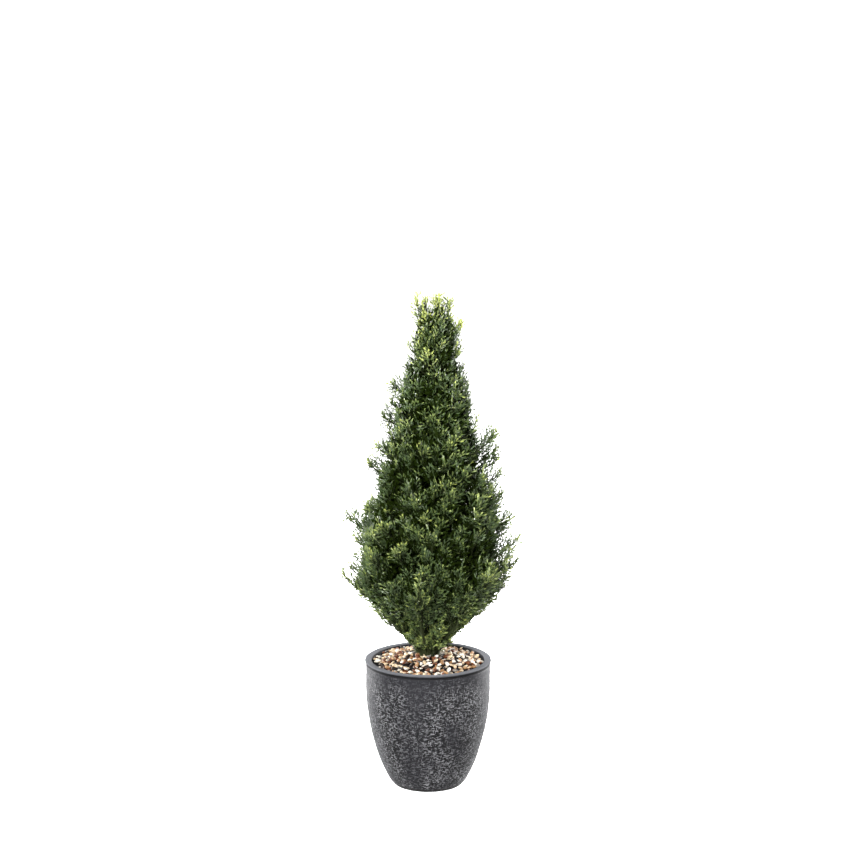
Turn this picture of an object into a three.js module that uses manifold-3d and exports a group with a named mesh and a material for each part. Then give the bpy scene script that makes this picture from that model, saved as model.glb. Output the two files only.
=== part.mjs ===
// Potted artificial cedar topiary: a conical evergreen in a round stone-look planter topped with pebbles.
// Millimetres, +Z up. The origin is the centre of the planter's flat underside.
import * as THREE from "three";
import { mergeVertices } from "three/addons/utils/BufferGeometryUtils.js";
import Module from "manifold-3d";

const wasm = await Module();
wasm.setup();

// Driving dimensions of the planter
const POT_HEIGHT = 315;
const BODY_RADIUS = 152.5; // of the upright wall under the lip
const FOOT_RADIUS = 83; // of the flat underside
const UPRIGHT_FROM = 0.8; // share of the height above which the wall stands upright
const BELLY_POWER = 0.7; // how quickly the wall swells out of the foot
const LIP_RADIUS = 155;
const LIP_WIDTH = 17;
const LIP_HEIGHT = 9;
const LIP_ROUNDING = 3;
const WALL = 15;
const POT_FLOOR = 18;
const POT_SIDES = 32;
const OUTSIDE_STEPS = 7;
const INSIDE_STEPS = 5;
const FOOT_CROWDING = 1.7; // how much the wall's steps crowd towards the foot

// Driving dimensions of what fills the planter
const CLEARANCE = 0.3; // between pieces that rest on each other
const PEBBLE_DROP = 8; // from the lip's top to the edge of the pebbles
const MOUND_RISE = 20; // of the pebbles, from their edge to the trunk
const PEBBLE_BED_DEPTH = 26; // at the edge
const TRUNK_SEAT_RADIUS = 24; // flat middle of the mound, where the trunk stands
const PEBBLES = 26;
const PEBBLE_LENGTH = 34;
const PEBBLE_SINK = 0.3; // share of a pebble's height that is under the mound's surface
const PEBBLE_WIDTH = 0.72; // share of its length
const PEBBLE_FLATNESS = 0.42; // height over length
const PEBBLE_UNEVEN = 0.15; // how much one pebble's sizes differ from the next one's
const MOUND_RINGS = 4;

// Driving dimensions of the plant, in its own upright frame: heights are above the ground at the trunk
const GROUND = POT_HEIGHT - PEBBLE_DROP + MOUND_RISE;
const TREE_HEIGHT = 898;
const LEAN = 20; // sideways shift of the top, towards +X
const TRUNK_TOP = 690;
const TRUNK_RADIUS = 11;
const TRUNK_TIP_RADIUS = 3.5;
const FLARE_RADIUS = 17;
const FLARE_HEIGHT = 36;
const TRUNK_SIDES = 10;

const CROWN_RADIUS = 216;
const CROWN_SHOULDER = 300; // height where the crown starts to taper
const NECK_RADIUS = 78;
const NECK_HEIGHT = 720; // height where the crown's slim top begins
const CROWN_TOP_RADIUS = 45;
const TIER_LIMBS = [7, 6, 5, 5, 4, 3]; // limbs in each tier, from the ground up
const LOWEST_TIPS = 212;
const HIGHEST_TIPS = 800;
const LOWEST_RISE = THREE.MathUtils.degToRad(44);
const HIGHEST_RISE = THREE.MathUtils.degToRad(66);
const TIER_TURN = THREE.MathUtils.degToRad(27); // from one tier's first limb to the next tier's
const STRAIGHTNESS = 0.7; // 1 is a straight limb, less lets it sweep up towards its tip
const SIDE_SCATTER = 0.16; // how far a limb may stand off its sector's middle, as a share of the sector
const REACH_SCATTER = 0.05; // how much a limb's reach and climb differ from its tier's
const GOLDEN_ANGLE = Math.PI * (3 - Math.sqrt(5));

const BOUGHED_TIERS = 3; // tiers whose limbs are thick enough to have a bough of their own
const BOUGH_SHARE = 0.2; // share of the limb's reach where the foliage takes over
const BOUGH_RADIUS = 4.2;
const BOUGH_SIDES = 5;
const STEM_RADIUS = 3;
const STEM_TIP_RADIUS = 1.6;
const STEM_END = 0.84; // share of the reach where the stem ends in its last spray
const LEADER_RISE = 45; // from the top tier's limbs to the border of the leader's foliage
const CORE_TOP_DROP = 250; // how far a core drawn in to a share of the outline stays under the top
const UNDERSIDE_DROP = 34; // from the lowest limbs to the underside of the crown

const CORE_OUTLINE = 0.76; // share of the crown's radius where the dense middle of a mass ends
const CORE_FILL = 0.8; // share of the way to the border of its space that the dense middle fills
const TUFT_FILL = 0.97; // share of the same way that its tufts reach
const CORE_LUMPS = 0.1; // how uneven a core's surface is
const TIER_SPRAYS = [4, 4, 4, 4, 3, 3]; // side sprays on one stem of each tier
const LEADER_SPRAYS = 5;
const LEADER_FREEDOM = 1.4; // share of the crown's radius that the leader's sprays may reach
const SPRAY_TRIES = 5; // places tried for each side spray that is wanted
const SPRAY_SPREAD = THREE.MathUtils.degToRad(46); // between a side spray and its stem
const SPRAY_FITS = [1, 0.9, 0.8, 0.7]; // shares of its free run that a spray is tried at
const SPRAY_HALF_WIDTH = 13;
const SPRAY_RIB = 1.7; // half width of the rib
const SPRAY_HEAD = 48; // length of the toothed end
const SHORT_HEAD = 0.6; // share of a short spray that is toothed
const TOOTH_ROOT = 0.5; // share of the head where its teeth fork off
const TOOTH_TIP = 0.62; // share of the head where its teeth end
const SPRAY_THICKNESS = 2.2;
const SPREAD_SCATTER = 0.3; // how much one spray's spread differs from the next one's
const FUSE_TOLERANCE = 0.4; // size of the slivers that are smoothed away where pieces are fused
const SEARCH_STEP = 2;
const SPACE_MARGIN = 1.2; // kept to the border of a mass's own space
const LIMB_MARGIN = 3; // kept to the trunk

// Colours and finishes
const SLATE_WASH = { color: 0x57575b, roughness: 0.85, metalness: 0 };
const DARK_FOAM = { color: 0x3a3029, roughness: 0.95, metalness: 0 };
const RIVER_PEBBLE = { color: 0xc4a888, roughness: 0.6, metalness: 0 };
const BROWN_BARK = { color: 0x4a3a2b, roughness: 0.9, metalness: 0 };
const CEDAR_GREEN = { color: 0x4c6136, roughness: 0.55, metalness: 0 };

// A repeatable scatter value from -1 to 1 for each pair of whole numbers.
function scatter(a, b) {
  const wave = Math.sin(a * 12.9898 + b * 78.233) * 43758.5453;
  return 2 * (wave - Math.floor(wave)) - 1;
}

// Solids: joining and cutting closed geometries

function solidOf(geometry) {
  const bare = geometry.clone();
  bare.deleteAttribute("normal");
  bare.deleteAttribute("uv");
  const merged = mergeVertices(bare, 1e-4);
  return new wasm.Manifold(
    new wasm.Mesh({
      numProp: 3,
      vertProperties: new Float32Array(merged.attributes.position.array),
      triVerts: new Uint32Array(merged.index.array),
    }),
  );
}

// The largest body of a solid, without loose scraps and with any sealed hollow filled.
function mainBody(solid) {
  return solid.decompose().reduce((most, body) => (body.volume() > most.volume() ? body : most));
}

function geometryOf(solid) {
  const mesh = mainBody(solid).getMesh();
  const geometry = new THREE.BufferGeometry();
  geometry.setAttribute("position", new THREE.BufferAttribute(mesh.vertProperties, 3));
  geometry.setIndex(new THREE.BufferAttribute(mesh.triVerts, 1));
  return geometry;
}

function fuse(geometries) {
  return wasm.Manifold.union(geometries.map(solidOf));
}

function turned(profile, sides) {
  const points = profile.map(([radius, height]) => new THREE.Vector2(radius, height));
  return new THREE.LatheGeometry(points, sides).rotateX(Math.PI / 2);
}

function addPiece(group, name, geometry, look) {
  const mesh = new THREE.Mesh(geometry, new THREE.MeshStandardMaterial(look));
  mesh.name = name;
  group.add(mesh);
}

// Planter: a round shell that swells out of a flat foot and ends in a rounded lip

function wallRadius(height) {
  const share = Math.min(1, height / (UPRIGHT_FROM * POT_HEIGHT));
  return FOOT_RADIUS + (BODY_RADIUS - FOOT_RADIUS) * Math.sin((Math.PI / 2) * share) ** BELLY_POWER;
}

// Heights that crowd towards the foot, where the wall curves most.
function wallHeights(from, to, steps) {
  return Array.from({ length: steps }, (_, i) => from + (to - from) * (i / (steps - 1)) ** FOOT_CROWDING);
}

const UNDER_LIP = POT_HEIGHT - LIP_HEIGHT;
const INSIDE = wallHeights(POT_FLOOR, UNDER_LIP, INSIDE_STEPS).map((height) => {
  return [Math.min(wallRadius(height) - WALL, LIP_RADIUS - LIP_WIDTH), height];
});

// Radius of the inner wall, which runs straight from one height of its profile to the next.
function innerRadius(height) {
  const next = INSIDE.findIndex(([, above]) => above >= height);
  const [[r0, z0], [r1, z1]] = [INSIDE[Math.max(0, next - 1)], INSIDE[Math.max(1, next)]];
  return r0 + ((r1 - r0) * (height - z0)) / (z1 - z0);
}

function planterGeometry() {
  const outside = wallHeights(0, UNDER_LIP, OUTSIDE_STEPS).map((height) => [wallRadius(height), height]);
  const lip = [
    [LIP_RADIUS, UNDER_LIP + (LIP_RADIUS - BODY_RADIUS)],
    [LIP_RADIUS, POT_HEIGHT - LIP_ROUNDING],
    [LIP_RADIUS - LIP_ROUNDING, POT_HEIGHT],
    [LIP_RADIUS - LIP_WIDTH + LIP_ROUNDING / 2, POT_HEIGHT],
    [LIP_RADIUS - LIP_WIDTH, POT_HEIGHT - LIP_ROUNDING],
  ];
  return turned([[0, 0], ...outside, ...lip, ...INSIDE.toReversed(), [0, POT_FLOOR]], POT_SIDES);
}

// Fill under the pebbles, and the mound of pebbles on it

const BED_BOTTOM = POT_HEIGHT - PEBBLE_DROP - PEBBLE_BED_DEPTH;

function fillGeometry() {
  const bottom = POT_FLOOR + CLEARANCE;
  const top = BED_BOTTOM - CLEARANCE;
  const between = INSIDE.map(([, height]) => height).filter((height) => height > bottom && height < top);
  const side = [bottom, ...between, top].map((height) => [innerRadius(height) - 1.5 * CLEARANCE, height]);
  return turned([[0, bottom], ...side, [0, top]], POT_SIDES);
}

const BED_RADIUS = innerRadius(BED_BOTTOM) - CLEARANCE;

// Height of the mound's surface: level at the trunk, then falling in a half wave to the edge.
function moundHeight(radius) {
  const share = (radius - TRUNK_SEAT_RADIUS) / (BED_RADIUS - TRUNK_SEAT_RADIUS);
  return GROUND - MOUND_RISE * 0.5 * (1 - Math.cos(Math.PI * THREE.MathUtils.clamp(share, 0, 1)));
}

// A flattened stone lying on the mound. The stones are spread evenly by the golden angle.
function pebbleGeometry(index) {
  const ringStart = TRUNK_SEAT_RADIUS + 0.6 * PEBBLE_LENGTH;
  const ringEnd = BED_RADIUS - 0.6 * PEBBLE_LENGTH;
  const radius = Math.sqrt(ringStart ** 2 + (ringEnd ** 2 - ringStart ** 2) * ((index + 0.5) / PEBBLES));
  const azimuth = index * GOLDEN_ANGLE;
  const half = 0.5 * PEBBLE_LENGTH * (1 - PEBBLE_UNEVEN + PEBBLE_UNEVEN * scatter(index, 1));
  const halfWidth = half * PEBBLE_WIDTH * (1 + PEBBLE_UNEVEN * scatter(index, 2));
  const halfHeight = half * PEBBLE_FLATNESS * (1 + PEBBLE_UNEVEN * scatter(index, 3));
  const height = moundHeight(radius) + halfHeight * (1 - 2 * PEBBLE_SINK);
  return new THREE.IcosahedronGeometry(1, 0)
    .rotateZ(index)
    .scale(half, halfWidth, halfHeight)
    .rotateZ(Math.PI * scatter(index, 4))
    .translate(radius * Math.cos(azimuth), radius * Math.sin(azimuth), height);
}

function pebbleBedGeometry() {
  const surface = Array.from({ length: MOUND_RINGS }, (_, i) => {
    const radius = BED_RADIUS + ((TRUNK_SEAT_RADIUS - BED_RADIUS) * i) / (MOUND_RINGS - 1);
    return [radius, moundHeight(radius)];
  });
  const bed = turned([[0, BED_BOTTOM], [BED_RADIUS, BED_BOTTOM], ...surface, [0, GROUND]], POT_SIDES);
  const stones = Array.from({ length: PEBBLES }, (_, i) => pebbleGeometry(i));
  return geometryOf(fuse([bed, ...stones]));
}

// Trunk: one tapering pole with a small root flare, cut flat at the ground

const TRUNK_FOOT = CLEARANCE;
const LEANING = new THREE.Matrix4().makeShear(0, 0, 0, 0, LEAN / TREE_HEIGHT, 0);

function trunkRadius(height) {
  const taper = THREE.MathUtils.lerp(TRUNK_RADIUS, TRUNK_TIP_RADIUS, height / TRUNK_TOP);
  const flare = Math.max(0, 1 - height / FLARE_HEIGHT) ** 2;
  return taper + (FLARE_RADIUS - TRUNK_RADIUS) * flare;
}

// The trunk, or the space it takes with something extra all round.
function trunkGeometry(extra) {
  const flare = [0.3, 0.65, 1].map((share) => share * FLARE_HEIGHT);
  const heights = [TRUNK_FOOT, ...flare, 0.5 * TRUNK_TOP, TRUNK_TOP];
  const profile = heights.map((height) => [trunkRadius(height) + extra, height]);
  return turned([[0, TRUNK_FOOT], ...profile, [0, TRUNK_TOP]], TRUNK_SIDES);
}

// Limbs: tiers of ascending stems whose tips lie on the crown's outline

// The crown tapers from its shoulder to its neck, and less from there to its top.
function crownRadius(height) {
  const overShoulder = Math.max(0, (height - CROWN_SHOULDER) / (NECK_HEIGHT - CROWN_SHOULDER));
  const overNeck = Math.max(0, (height - NECK_HEIGHT) / (TREE_HEIGHT - NECK_HEIGHT));
  const radius = THREE.MathUtils.lerp(CROWN_RADIUS, NECK_RADIUS, Math.min(1, overShoulder));
  return radius + (CROWN_TOP_RADIUS - NECK_RADIUS) * overNeck;
}

const TIERS = TIER_LIMBS.map((limbs, tier) => {
  const share = tier / (TIER_LIMBS.length - 1);
  const tips = THREE.MathUtils.lerp(LOWEST_TIPS, HIGHEST_TIPS, share);
  const reach = crownRadius(tips);
  const climb = reach * Math.tan(THREE.MathUtils.lerp(LOWEST_RISE, HIGHEST_RISE, share));
  return { tier, limbs, reach, climb, root: tips - climb };
});

// Height of a tier's limbs at a radius, on a curve that starts lower and sweeps up.
function layerHeight({ root, climb, reach }, radius) {
  const share = radius / reach;
  return root + climb * (STRAIGHTNESS * share + (1 - STRAIGHTNESS) * share ** 2);
}

// Border between a tier and the one above it, or the leader's foliage over the top tier.
function upperBorder(tier, radius) {
  const here = layerHeight(TIERS[tier], radius);
  if (tier + 1 < TIERS.length) return 0.5 * (here + layerHeight(TIERS[tier + 1], radius));
  return here + LEADER_RISE;
}

// Path of one limb, from the trunk's middle to its tip.
class LimbPath extends THREE.Curve {
  constructor(layer, index) {
    super();
    const mark = 10 * layer.tier + index;
    this.tier = layer.tier;
    this.mark = mark;
    this.sector = Math.PI / layer.limbs;
    this.sectorMiddle = TIER_TURN * layer.tier + 2 * this.sector * index;
    this.azimuth = this.sectorMiddle + SIDE_SCATTER * this.sector * scatter(mark, 1);
    const reach = layer.reach * (1 + REACH_SCATTER * scatter(mark, 2));
    const climb = layer.climb * (1 + REACH_SCATTER * (scatter(mark, 2) + scatter(mark, 3)));
    this.layer = { ...layer, reach, climb };
  }

  getPoint(share, target = new THREE.Vector3()) {
    const radius = share * this.layer.reach;
    const height = layerHeight(this.layer, radius);
    return target.set(radius * Math.cos(this.azimuth), radius * Math.sin(this.azimuth), height);
  }

  // Whether a point lies in this limb's own space: its sector, between the borders of its tier.
  holds(point) {
    const radius = Math.hypot(point.x, point.y);
    const turn = Math.atan2(point.y, point.x) - this.sectorMiddle;
    const aside = Math.abs(Math.atan2(Math.sin(turn), Math.cos(turn)));
    const inSector = aside < this.sector && radius * Math.sin(this.sector - aside) > SPACE_MARGIN;
    const underTop = point.z < upperBorder(this.tier, radius) - SPACE_MARGIN;
    const floor = this.tier > 0 ? upperBorder(this.tier - 1, radius) : SPACE_MARGIN;
    const clearOfTrunk = radius > trunkRadius(Math.max(0, point.z)) + LIMB_MARGIN;
    return inSector && underTop && point.z > floor + SPACE_MARGIN && clearOfTrunk;
  }
}

// Path of the leader, which carries the trunk on to the top of the tree.
class LeaderPath extends THREE.Curve {
  constructor() {
    super();
    this.mark = 10 * TIERS.length;
  }

  getPoint(share, target = new THREE.Vector3()) {
    return target.set(0, 0, THREE.MathUtils.lerp(TRUNK_TOP + CLEARANCE, TREE_HEIGHT, share));
  }

  holds(point) {
    const radius = Math.hypot(point.x, point.y);
    const overTier = point.z > upperBorder(TIERS.length - 1, radius) + SPACE_MARGIN;
    const clearOfTrunk = point.z > TRUNK_TOP || radius > trunkRadius(point.z) + LIMB_MARGIN;
    const nearAxis = radius < LEADER_FREEDOM * crownRadius(point.z);
    return overTier && clearOfTrunk && nearAxis && point.z <= TREE_HEIGHT;
  }
}

// Two directions across a path: to its side, and up from its surface.
function crossAxes(along) {
  const upright = Math.abs(along.z) > 0.999;
  const side = upright ? new THREE.Vector3(1, 0, 0) : new THREE.Vector3(-along.y, along.x, 0);
  return { side: side.normalize(), over: new THREE.Vector3().crossVectors(along, side) };
}

// The direction at an angle from one direction towards another that is square to it.
function blend(from, to, angle) {
  return from.clone().multiplyScalar(Math.cos(angle)).addScaledVector(to, Math.sin(angle));
}

// A round rod that follows a path from one share of it to another and tapers evenly.
function limbGeometry(path, from, to, rootRadius, tipRadius, sides, steps) {
  const rod = new THREE.CylinderGeometry(tipRadius, rootRadius, 1, sides, steps);
  const position = rod.attributes.position;
  const local = new THREE.Vector3();
  for (let i = 0; i < position.count; i++) {
    local.fromBufferAttribute(position, i);
    const share = THREE.MathUtils.lerp(from, to, local.y + 0.5);
    const { side, over } = crossAxes(path.getTangent(THREE.MathUtils.clamp(share, 0, 1)));
    const point = path.getPoint(share).addScaledVector(side, local.z).addScaledVector(over, local.x);
    position.setXYZ(i, point.x, point.y, point.z);
  }
  return rod;
}

// Foliage: a dense core round one stem, with toothed sprays that grow out of it to the crown's outline

// Whether a point is inside the crown's outline, drawn in to a share of its radius.
function inCrown(point, share) {
  const radius = Math.hypot(point.x, point.y);
  const underside = layerHeight(TIERS[0], radius) - UNDERSIDE_DROP * share;
  const top = TREE_HEIGHT - CORE_TOP_DROP * (1 - share);
  return radius < share * crownRadius(point.z) && point.z > underside && point.z < top;
}

// How far a straight line from a point stays in its limb's space and in the crown.
function freeRun(path, start, along, share) {
  const point = new THREE.Vector3();
  let run = 0;
  do {
    run += SEARCH_STEP;
    point.copy(start).addScaledVector(along, run);
  } while (path.holds(point) && inCrown(point, share));
  return run - SEARCH_STEP;
}

// Directions of the tufts on a core: the corners and the face middles of an icosahedron.
function tuftDirections() {
  const corners = new THREE.IcosahedronGeometry(1, 0).attributes.position;
  const directions = [];
  for (let i = 0; i < corners.count; i += 3) {
    const face = [0, 1, 2].map((j) => new THREE.Vector3().fromBufferAttribute(corners, i + j));
    directions.push(...face, face[0].clone().add(face[1]).add(face[2]).normalize());
  }
  return directions;
}

const TUFTS = tuftDirections();

// The dense middle of a mass: a lumpy body set with pointed tufts, which fills its limb's space.
function coreGeometry(path, centre) {
  const ball = new THREE.IcosahedronGeometry(1, 2);
  ball.deleteAttribute("normal");
  ball.deleteAttribute("uv");
  const core = mergeVertices(ball, 1e-4);
  const position = core.attributes.position;
  const turn = new THREE.Euler(3 * scatter(path.mark, 6), 3 * scatter(path.mark, 7), 0);
  const along = new THREE.Vector3();
  for (let i = 0; i < position.count; i++) {
    along.fromBufferAttribute(position, i).normalize();
    const tuft = TUFTS.some((direction) => direction.dot(along) > 0.999);
    along.applyEuler(turn);
    const lump = 1 + CORE_LUMPS * (scatter(path.mark, 40 + i) - 1);
    const [fill, outline] = tuft ? [TUFT_FILL, 1] : [CORE_FILL, CORE_OUTLINE];
    const run = lump * fill * freeRun(path, centre, along, outline);
    position.setXYZ(i, centre.x + run * along.x, centre.y + run * along.y, centre.z + run * along.z);
  }
  return core;
}

// Flat outline of a spray: a slim rib that ends in a forked head of pointed teeth.
function sprayOutline(length) {
  const head = Math.min(SPRAY_HEAD, SHORT_HEAD * length);
  const neck = length - head;
  const edge = [
    [0, SPRAY_RIB],
    [neck, SPRAY_RIB],
    [neck + TOOTH_TIP * head, SPRAY_HALF_WIDTH],
    [neck + TOOTH_ROOT * head, SPRAY_RIB],
  ];
  const outline = [...edge, [length, 0], ...edge.map(([x, y]) => [x, -y]).reverse()];
  return outline.map(([x, y]) => new THREE.Vector2(x, y));
}

// A spray that starts at a point, grows along a direction and lies flat along another.
function sprayGeometry(start, along, side, length) {
  const blade = new THREE.ExtrudeGeometry(new THREE.Shape(sprayOutline(length)), {
    depth: SPRAY_THICKNESS,
    bevelEnabled: false,
  });
  blade.translate(0, 0, -0.5 * SPRAY_THICKNESS);
  const across = side.clone().addScaledVector(along, -side.dot(along)).normalize();
  const facing = new THREE.Vector3().crossVectors(along, across);
  return blade.applyMatrix4(new THREE.Matrix4().makeBasis(along, across, facing).setPosition(start));
}

function fits(path, geometry) {
  const position = geometry.attributes.position;
  const point = new THREE.Vector3();
  for (let i = 0; i < position.count; i++) {
    if (!path.holds(point.fromBufferAttribute(position, i))) return false;
  }
  return true;
}

// The longest spray that stays in its limb's space and still shows outside the core, or nothing.
function fittedSpray(path, start, along, side) {
  const run = freeRun(path, start, along, 1);
  for (const fit of SPRAY_FITS) {
    const tip = start.clone().addScaledVector(along, fit * run);
    if (inCrown(tip, 0.5 * (1 + CORE_OUTLINE))) return undefined;
    const spray = sprayGeometry(start, along, side, fit * run);
    if (fits(path, spray)) return spray;
  }
  return undefined;
}

// Side sprays set round the stem by the golden angle, each leaning forward.
function sideSprays(path, from, count) {
  const sprays = [];
  const tries = SPRAY_TRIES * count;
  for (let i = 0; i < tries && sprays.length < count; i++) {
    const share = from + (STEM_END - from) * (((i * 3 + 1) % tries) / tries);
    const stem = path.getTangent(share);
    const { side, over } = crossAxes(stem);
    const turn = i * GOLDEN_ANGLE + 3 * scatter(path.mark, 5);
    const spread = SPRAY_SPREAD * (1 + SPREAD_SCATTER * scatter(path.mark, 100 + i));
    const outward = blend(side, over, turn);
    const along = blend(stem, outward, spread);
    const across = new THREE.Vector3().crossVectors(stem, outward);
    const spray = fittedSpray(path, path.getPoint(share), along, across);
    if (spray) sprays.push(spray);
  }
  return sprays;
}

// One mass: a stem, the core round it, a last spray that runs on to the limb's tip, and side sprays.
function massSolid(path, from, sprayCount) {
  const middle = 0.5 * (from + STEM_END);
  const centre = path.getPoint(middle);
  const stem = limbGeometry(path, from, middle, STEM_RADIUS, STEM_TIP_RADIUS, 3, 1);
  const onward = path.getPoint(1).sub(centre);
  const length = onward.length();
  onward.normalize();
  const lastSpray = sprayGeometry(centre, onward, crossAxes(onward).side, length);
  const pieces = [stem, coreGeometry(path, centre), lastSpray, ...sideSprays(path, from, sprayCount)];
  return fuse(pieces).simplify(FUSE_TOLERANCE);
}

const TRUNK_SPACE = solidOf(trunkGeometry(CLEARANCE));

function boughSolid(path, to, extra) {
  const [root, tip] = [BOUGH_RADIUS + extra, STEM_RADIUS + extra];
  return solidOf(limbGeometry(path, 0, to, root, tip, BOUGH_SIDES, 1));
}

function addPlantPiece(group, name, solid, look) {
  addPiece(group, name, geometryOf(solid.subtract(TRUNK_SPACE)).applyMatrix4(LEANING), look);
}

// One limb of a tier: a bough up to where the foliage takes over in the lower tiers, and a mass.
function addLimb(group, layer, index) {
  const path = new LimbPath(layer, index);
  const name = `${layer.tier + 1}${"abcdefg"[index]}`;
  if (layer.tier >= BOUGHED_TIERS) {
    addPlantPiece(group, `foliage_${name}`, massSolid(path, 0, TIER_SPRAYS[layer.tier]), CEDAR_GREEN);
    return;
  }
  const massStart = BOUGH_SHARE + CLEARANCE / Math.hypot(layer.reach, layer.climb);
  const boughSpace = boughSolid(path, massStart, CLEARANCE / Math.cos(Math.PI / BOUGH_SIDES));
  const mass = massSolid(path, massStart, TIER_SPRAYS[layer.tier]).subtract(boughSpace);
  addPlantPiece(group, `bough_${name}`, boughSolid(path, BOUGH_SHARE, 0), BROWN_BARK);
  addPlantPiece(group, `foliage_${name}`, mass, CEDAR_GREEN);
}

// The whole object

const topiary = new THREE.Group();
addPiece(topiary, "planter", planterGeometry(), SLATE_WASH);
addPiece(topiary, "planter_fill", fillGeometry(), DARK_FOAM);
addPiece(topiary, "pebble_bed", pebbleBedGeometry(), RIVER_PEBBLE);

const plant = new THREE.Group();
plant.position.z = GROUND;
topiary.add(plant);
addPiece(plant, "trunk", trunkGeometry(0).applyMatrix4(LEANING), BROWN_BARK);
for (const layer of TIERS) {
  for (let index = 0; index < layer.limbs; index++) addLimb(plant, layer, index);
}
addPlantPiece(plant, "foliage_leader", massSolid(new LeaderPath(), 0, LEADER_SPRAYS), CEDAR_GREEN);

export default topiary;
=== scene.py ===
import math

import bpy
import numpy as np
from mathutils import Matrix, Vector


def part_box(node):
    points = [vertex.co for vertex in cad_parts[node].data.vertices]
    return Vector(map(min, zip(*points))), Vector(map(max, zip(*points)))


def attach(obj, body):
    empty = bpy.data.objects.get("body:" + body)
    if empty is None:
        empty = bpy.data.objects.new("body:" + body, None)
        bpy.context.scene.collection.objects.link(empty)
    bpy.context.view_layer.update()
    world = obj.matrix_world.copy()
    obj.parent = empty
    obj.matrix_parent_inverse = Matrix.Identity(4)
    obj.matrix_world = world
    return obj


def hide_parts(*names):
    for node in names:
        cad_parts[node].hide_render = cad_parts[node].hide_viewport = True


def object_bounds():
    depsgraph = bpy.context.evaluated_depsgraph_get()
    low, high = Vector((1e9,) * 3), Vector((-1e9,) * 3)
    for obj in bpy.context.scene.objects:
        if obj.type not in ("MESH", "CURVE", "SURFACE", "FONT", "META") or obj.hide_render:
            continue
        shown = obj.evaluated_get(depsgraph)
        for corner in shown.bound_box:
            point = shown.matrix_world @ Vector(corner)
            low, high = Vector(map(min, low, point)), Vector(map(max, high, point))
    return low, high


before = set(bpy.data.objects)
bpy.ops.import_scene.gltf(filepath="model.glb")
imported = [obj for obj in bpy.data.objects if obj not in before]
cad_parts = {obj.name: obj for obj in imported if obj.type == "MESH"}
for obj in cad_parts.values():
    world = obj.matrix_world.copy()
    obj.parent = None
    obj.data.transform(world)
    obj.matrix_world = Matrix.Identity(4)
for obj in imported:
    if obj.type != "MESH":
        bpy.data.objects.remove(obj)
cad_low, cad_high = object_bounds()


# Planter
# A thick-walled round pot, cast in a mould from stone-filled resin. Its outside is hatched like coarse linen
# and rubbed with a pale wash, and a smooth lip stands a little proud of the wall.

planter_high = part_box("planter")[1]
POT_HEIGHT = planter_high.z
LIP_RADIUS = planter_high.x
LIP_OVERHANG = 0.0025
BODY_RADIUS = LIP_RADIUS - LIP_OVERHANG
FOOT_RADIUS = 0.083
UPRIGHT_FROM = 0.8  # share of the height above which the wall stands upright
BELLY_POWER = 0.7  # how quickly the wall swells out of the foot
LIP_WIDTH = 0.017
LIP_HEIGHT = 0.009
LIP_ROUNDING = 0.003
GROOVE = 0.0012  # depth of the line under the lip
POLE = 1e-4  # radius that a closed end shrinks to
WALL = 0.015
POT_FLOOR = 0.018
WALL_ROWS = 124
ROUND_POT = 540  # steps round the pot
HATCH_DEPTH = 0.0007  # of the relief, from its hollows to its ridges
RELIEF_FADE = 0.012  # height in which it fades out at foot and lip
# Weft, warp and swell of the relief by seed: share of its depth, cells round the pot, height of a cell
RELIEF = {1: (0.35, 60, 0.0055), 2: (0.3, 170, 0.018), 3: (0.6, 14, 0.06)}


def linear(colour):
    """Linear red, green, blue and alpha of an sRGB hex colour."""
    shares = np.array([int(colour[i : i + 2], 16) for i in (1, 3, 5)]) / 255
    steep = ((shares + 0.055) / 1.055) ** 2.4
    return (*np.where(shares <= 0.04045, shares / 12.92, steep), 1.0)


def finish(name):
    """A new material with an empty node tree."""
    made = bpy.data.materials.new(name)
    made.use_nodes = True
    made.node_tree.nodes.clear()
    return made


def add(material, kind, inputs, **settings):
    """Adds a node with its settings. An input that is another node's output is linked, others are values."""
    node = material.node_tree.nodes.new(kind)
    for name, value in settings.items():
        setattr(node, name, value)
    for socket, value in inputs.items():
        if isinstance(value, bpy.types.NodeSocket):
            material.node_tree.links.new(value, node.inputs[socket])
        else:
            node.inputs[socket].default_value = value
    return node


def coat(material, inputs):
    """Ends a material with a principled shader that has these inputs."""
    shader = add(material, "ShaderNodeBsdfPrincipled", inputs)
    add(material, "ShaderNodeOutputMaterial", {"Surface": shader.outputs[0]})


def put(name, points, faces, material, nodes, smooth=True):
    """Makes a piece of the object from arrays of points and of faces, in place of CAD nodes."""
    mesh = bpy.data.meshes.new(name)
    mesh.vertices.add(len(points))
    mesh.vertices.foreach_set("co", np.asarray(points, np.float32).ravel())
    corners = faces.shape[1]
    mesh.loops.add(faces.size)
    mesh.loops.foreach_set("vertex_index", np.asarray(faces, np.int32).ravel())
    mesh.polygons.add(len(faces))
    mesh.polygons.foreach_set("loop_start", np.arange(0, faces.size, corners, dtype=np.int32))
    mesh.polygons.foreach_set("use_smooth", np.full(len(faces), smooth))
    mesh.update(calc_edges=True)
    mesh.validate()
    mesh.materials.append(material)
    piece = bpy.data.objects.new(name, mesh)
    bpy.context.scene.collection.objects.link(piece)
    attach(piece, "root")
    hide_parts(*nodes)
    return piece


def grid_faces(rows, columns):
    """Quads of a grid whose columns close round, with its rows running up along the outside."""
    row, column = np.meshgrid(np.arange(rows - 1), np.arange(columns), indexing="ij")
    beside = (column + 1) % columns
    corners = [row * columns + column, row * columns + beside]
    corners += [(row + 1) * columns + beside, (row + 1) * columns + column]
    return np.stack(corners, -1).reshape(-1, 4)


def wall_radius(height):
    """The foot's radius, and from there a power of a quarter sine wave up to the upright wall."""
    share = np.minimum(1, height / (UPRIGHT_FROM * POT_HEIGHT))
    return FOOT_RADIUS + (BODY_RADIUS - FOOT_RADIUS) * np.sin(np.pi / 2 * share) ** BELLY_POWER


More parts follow.
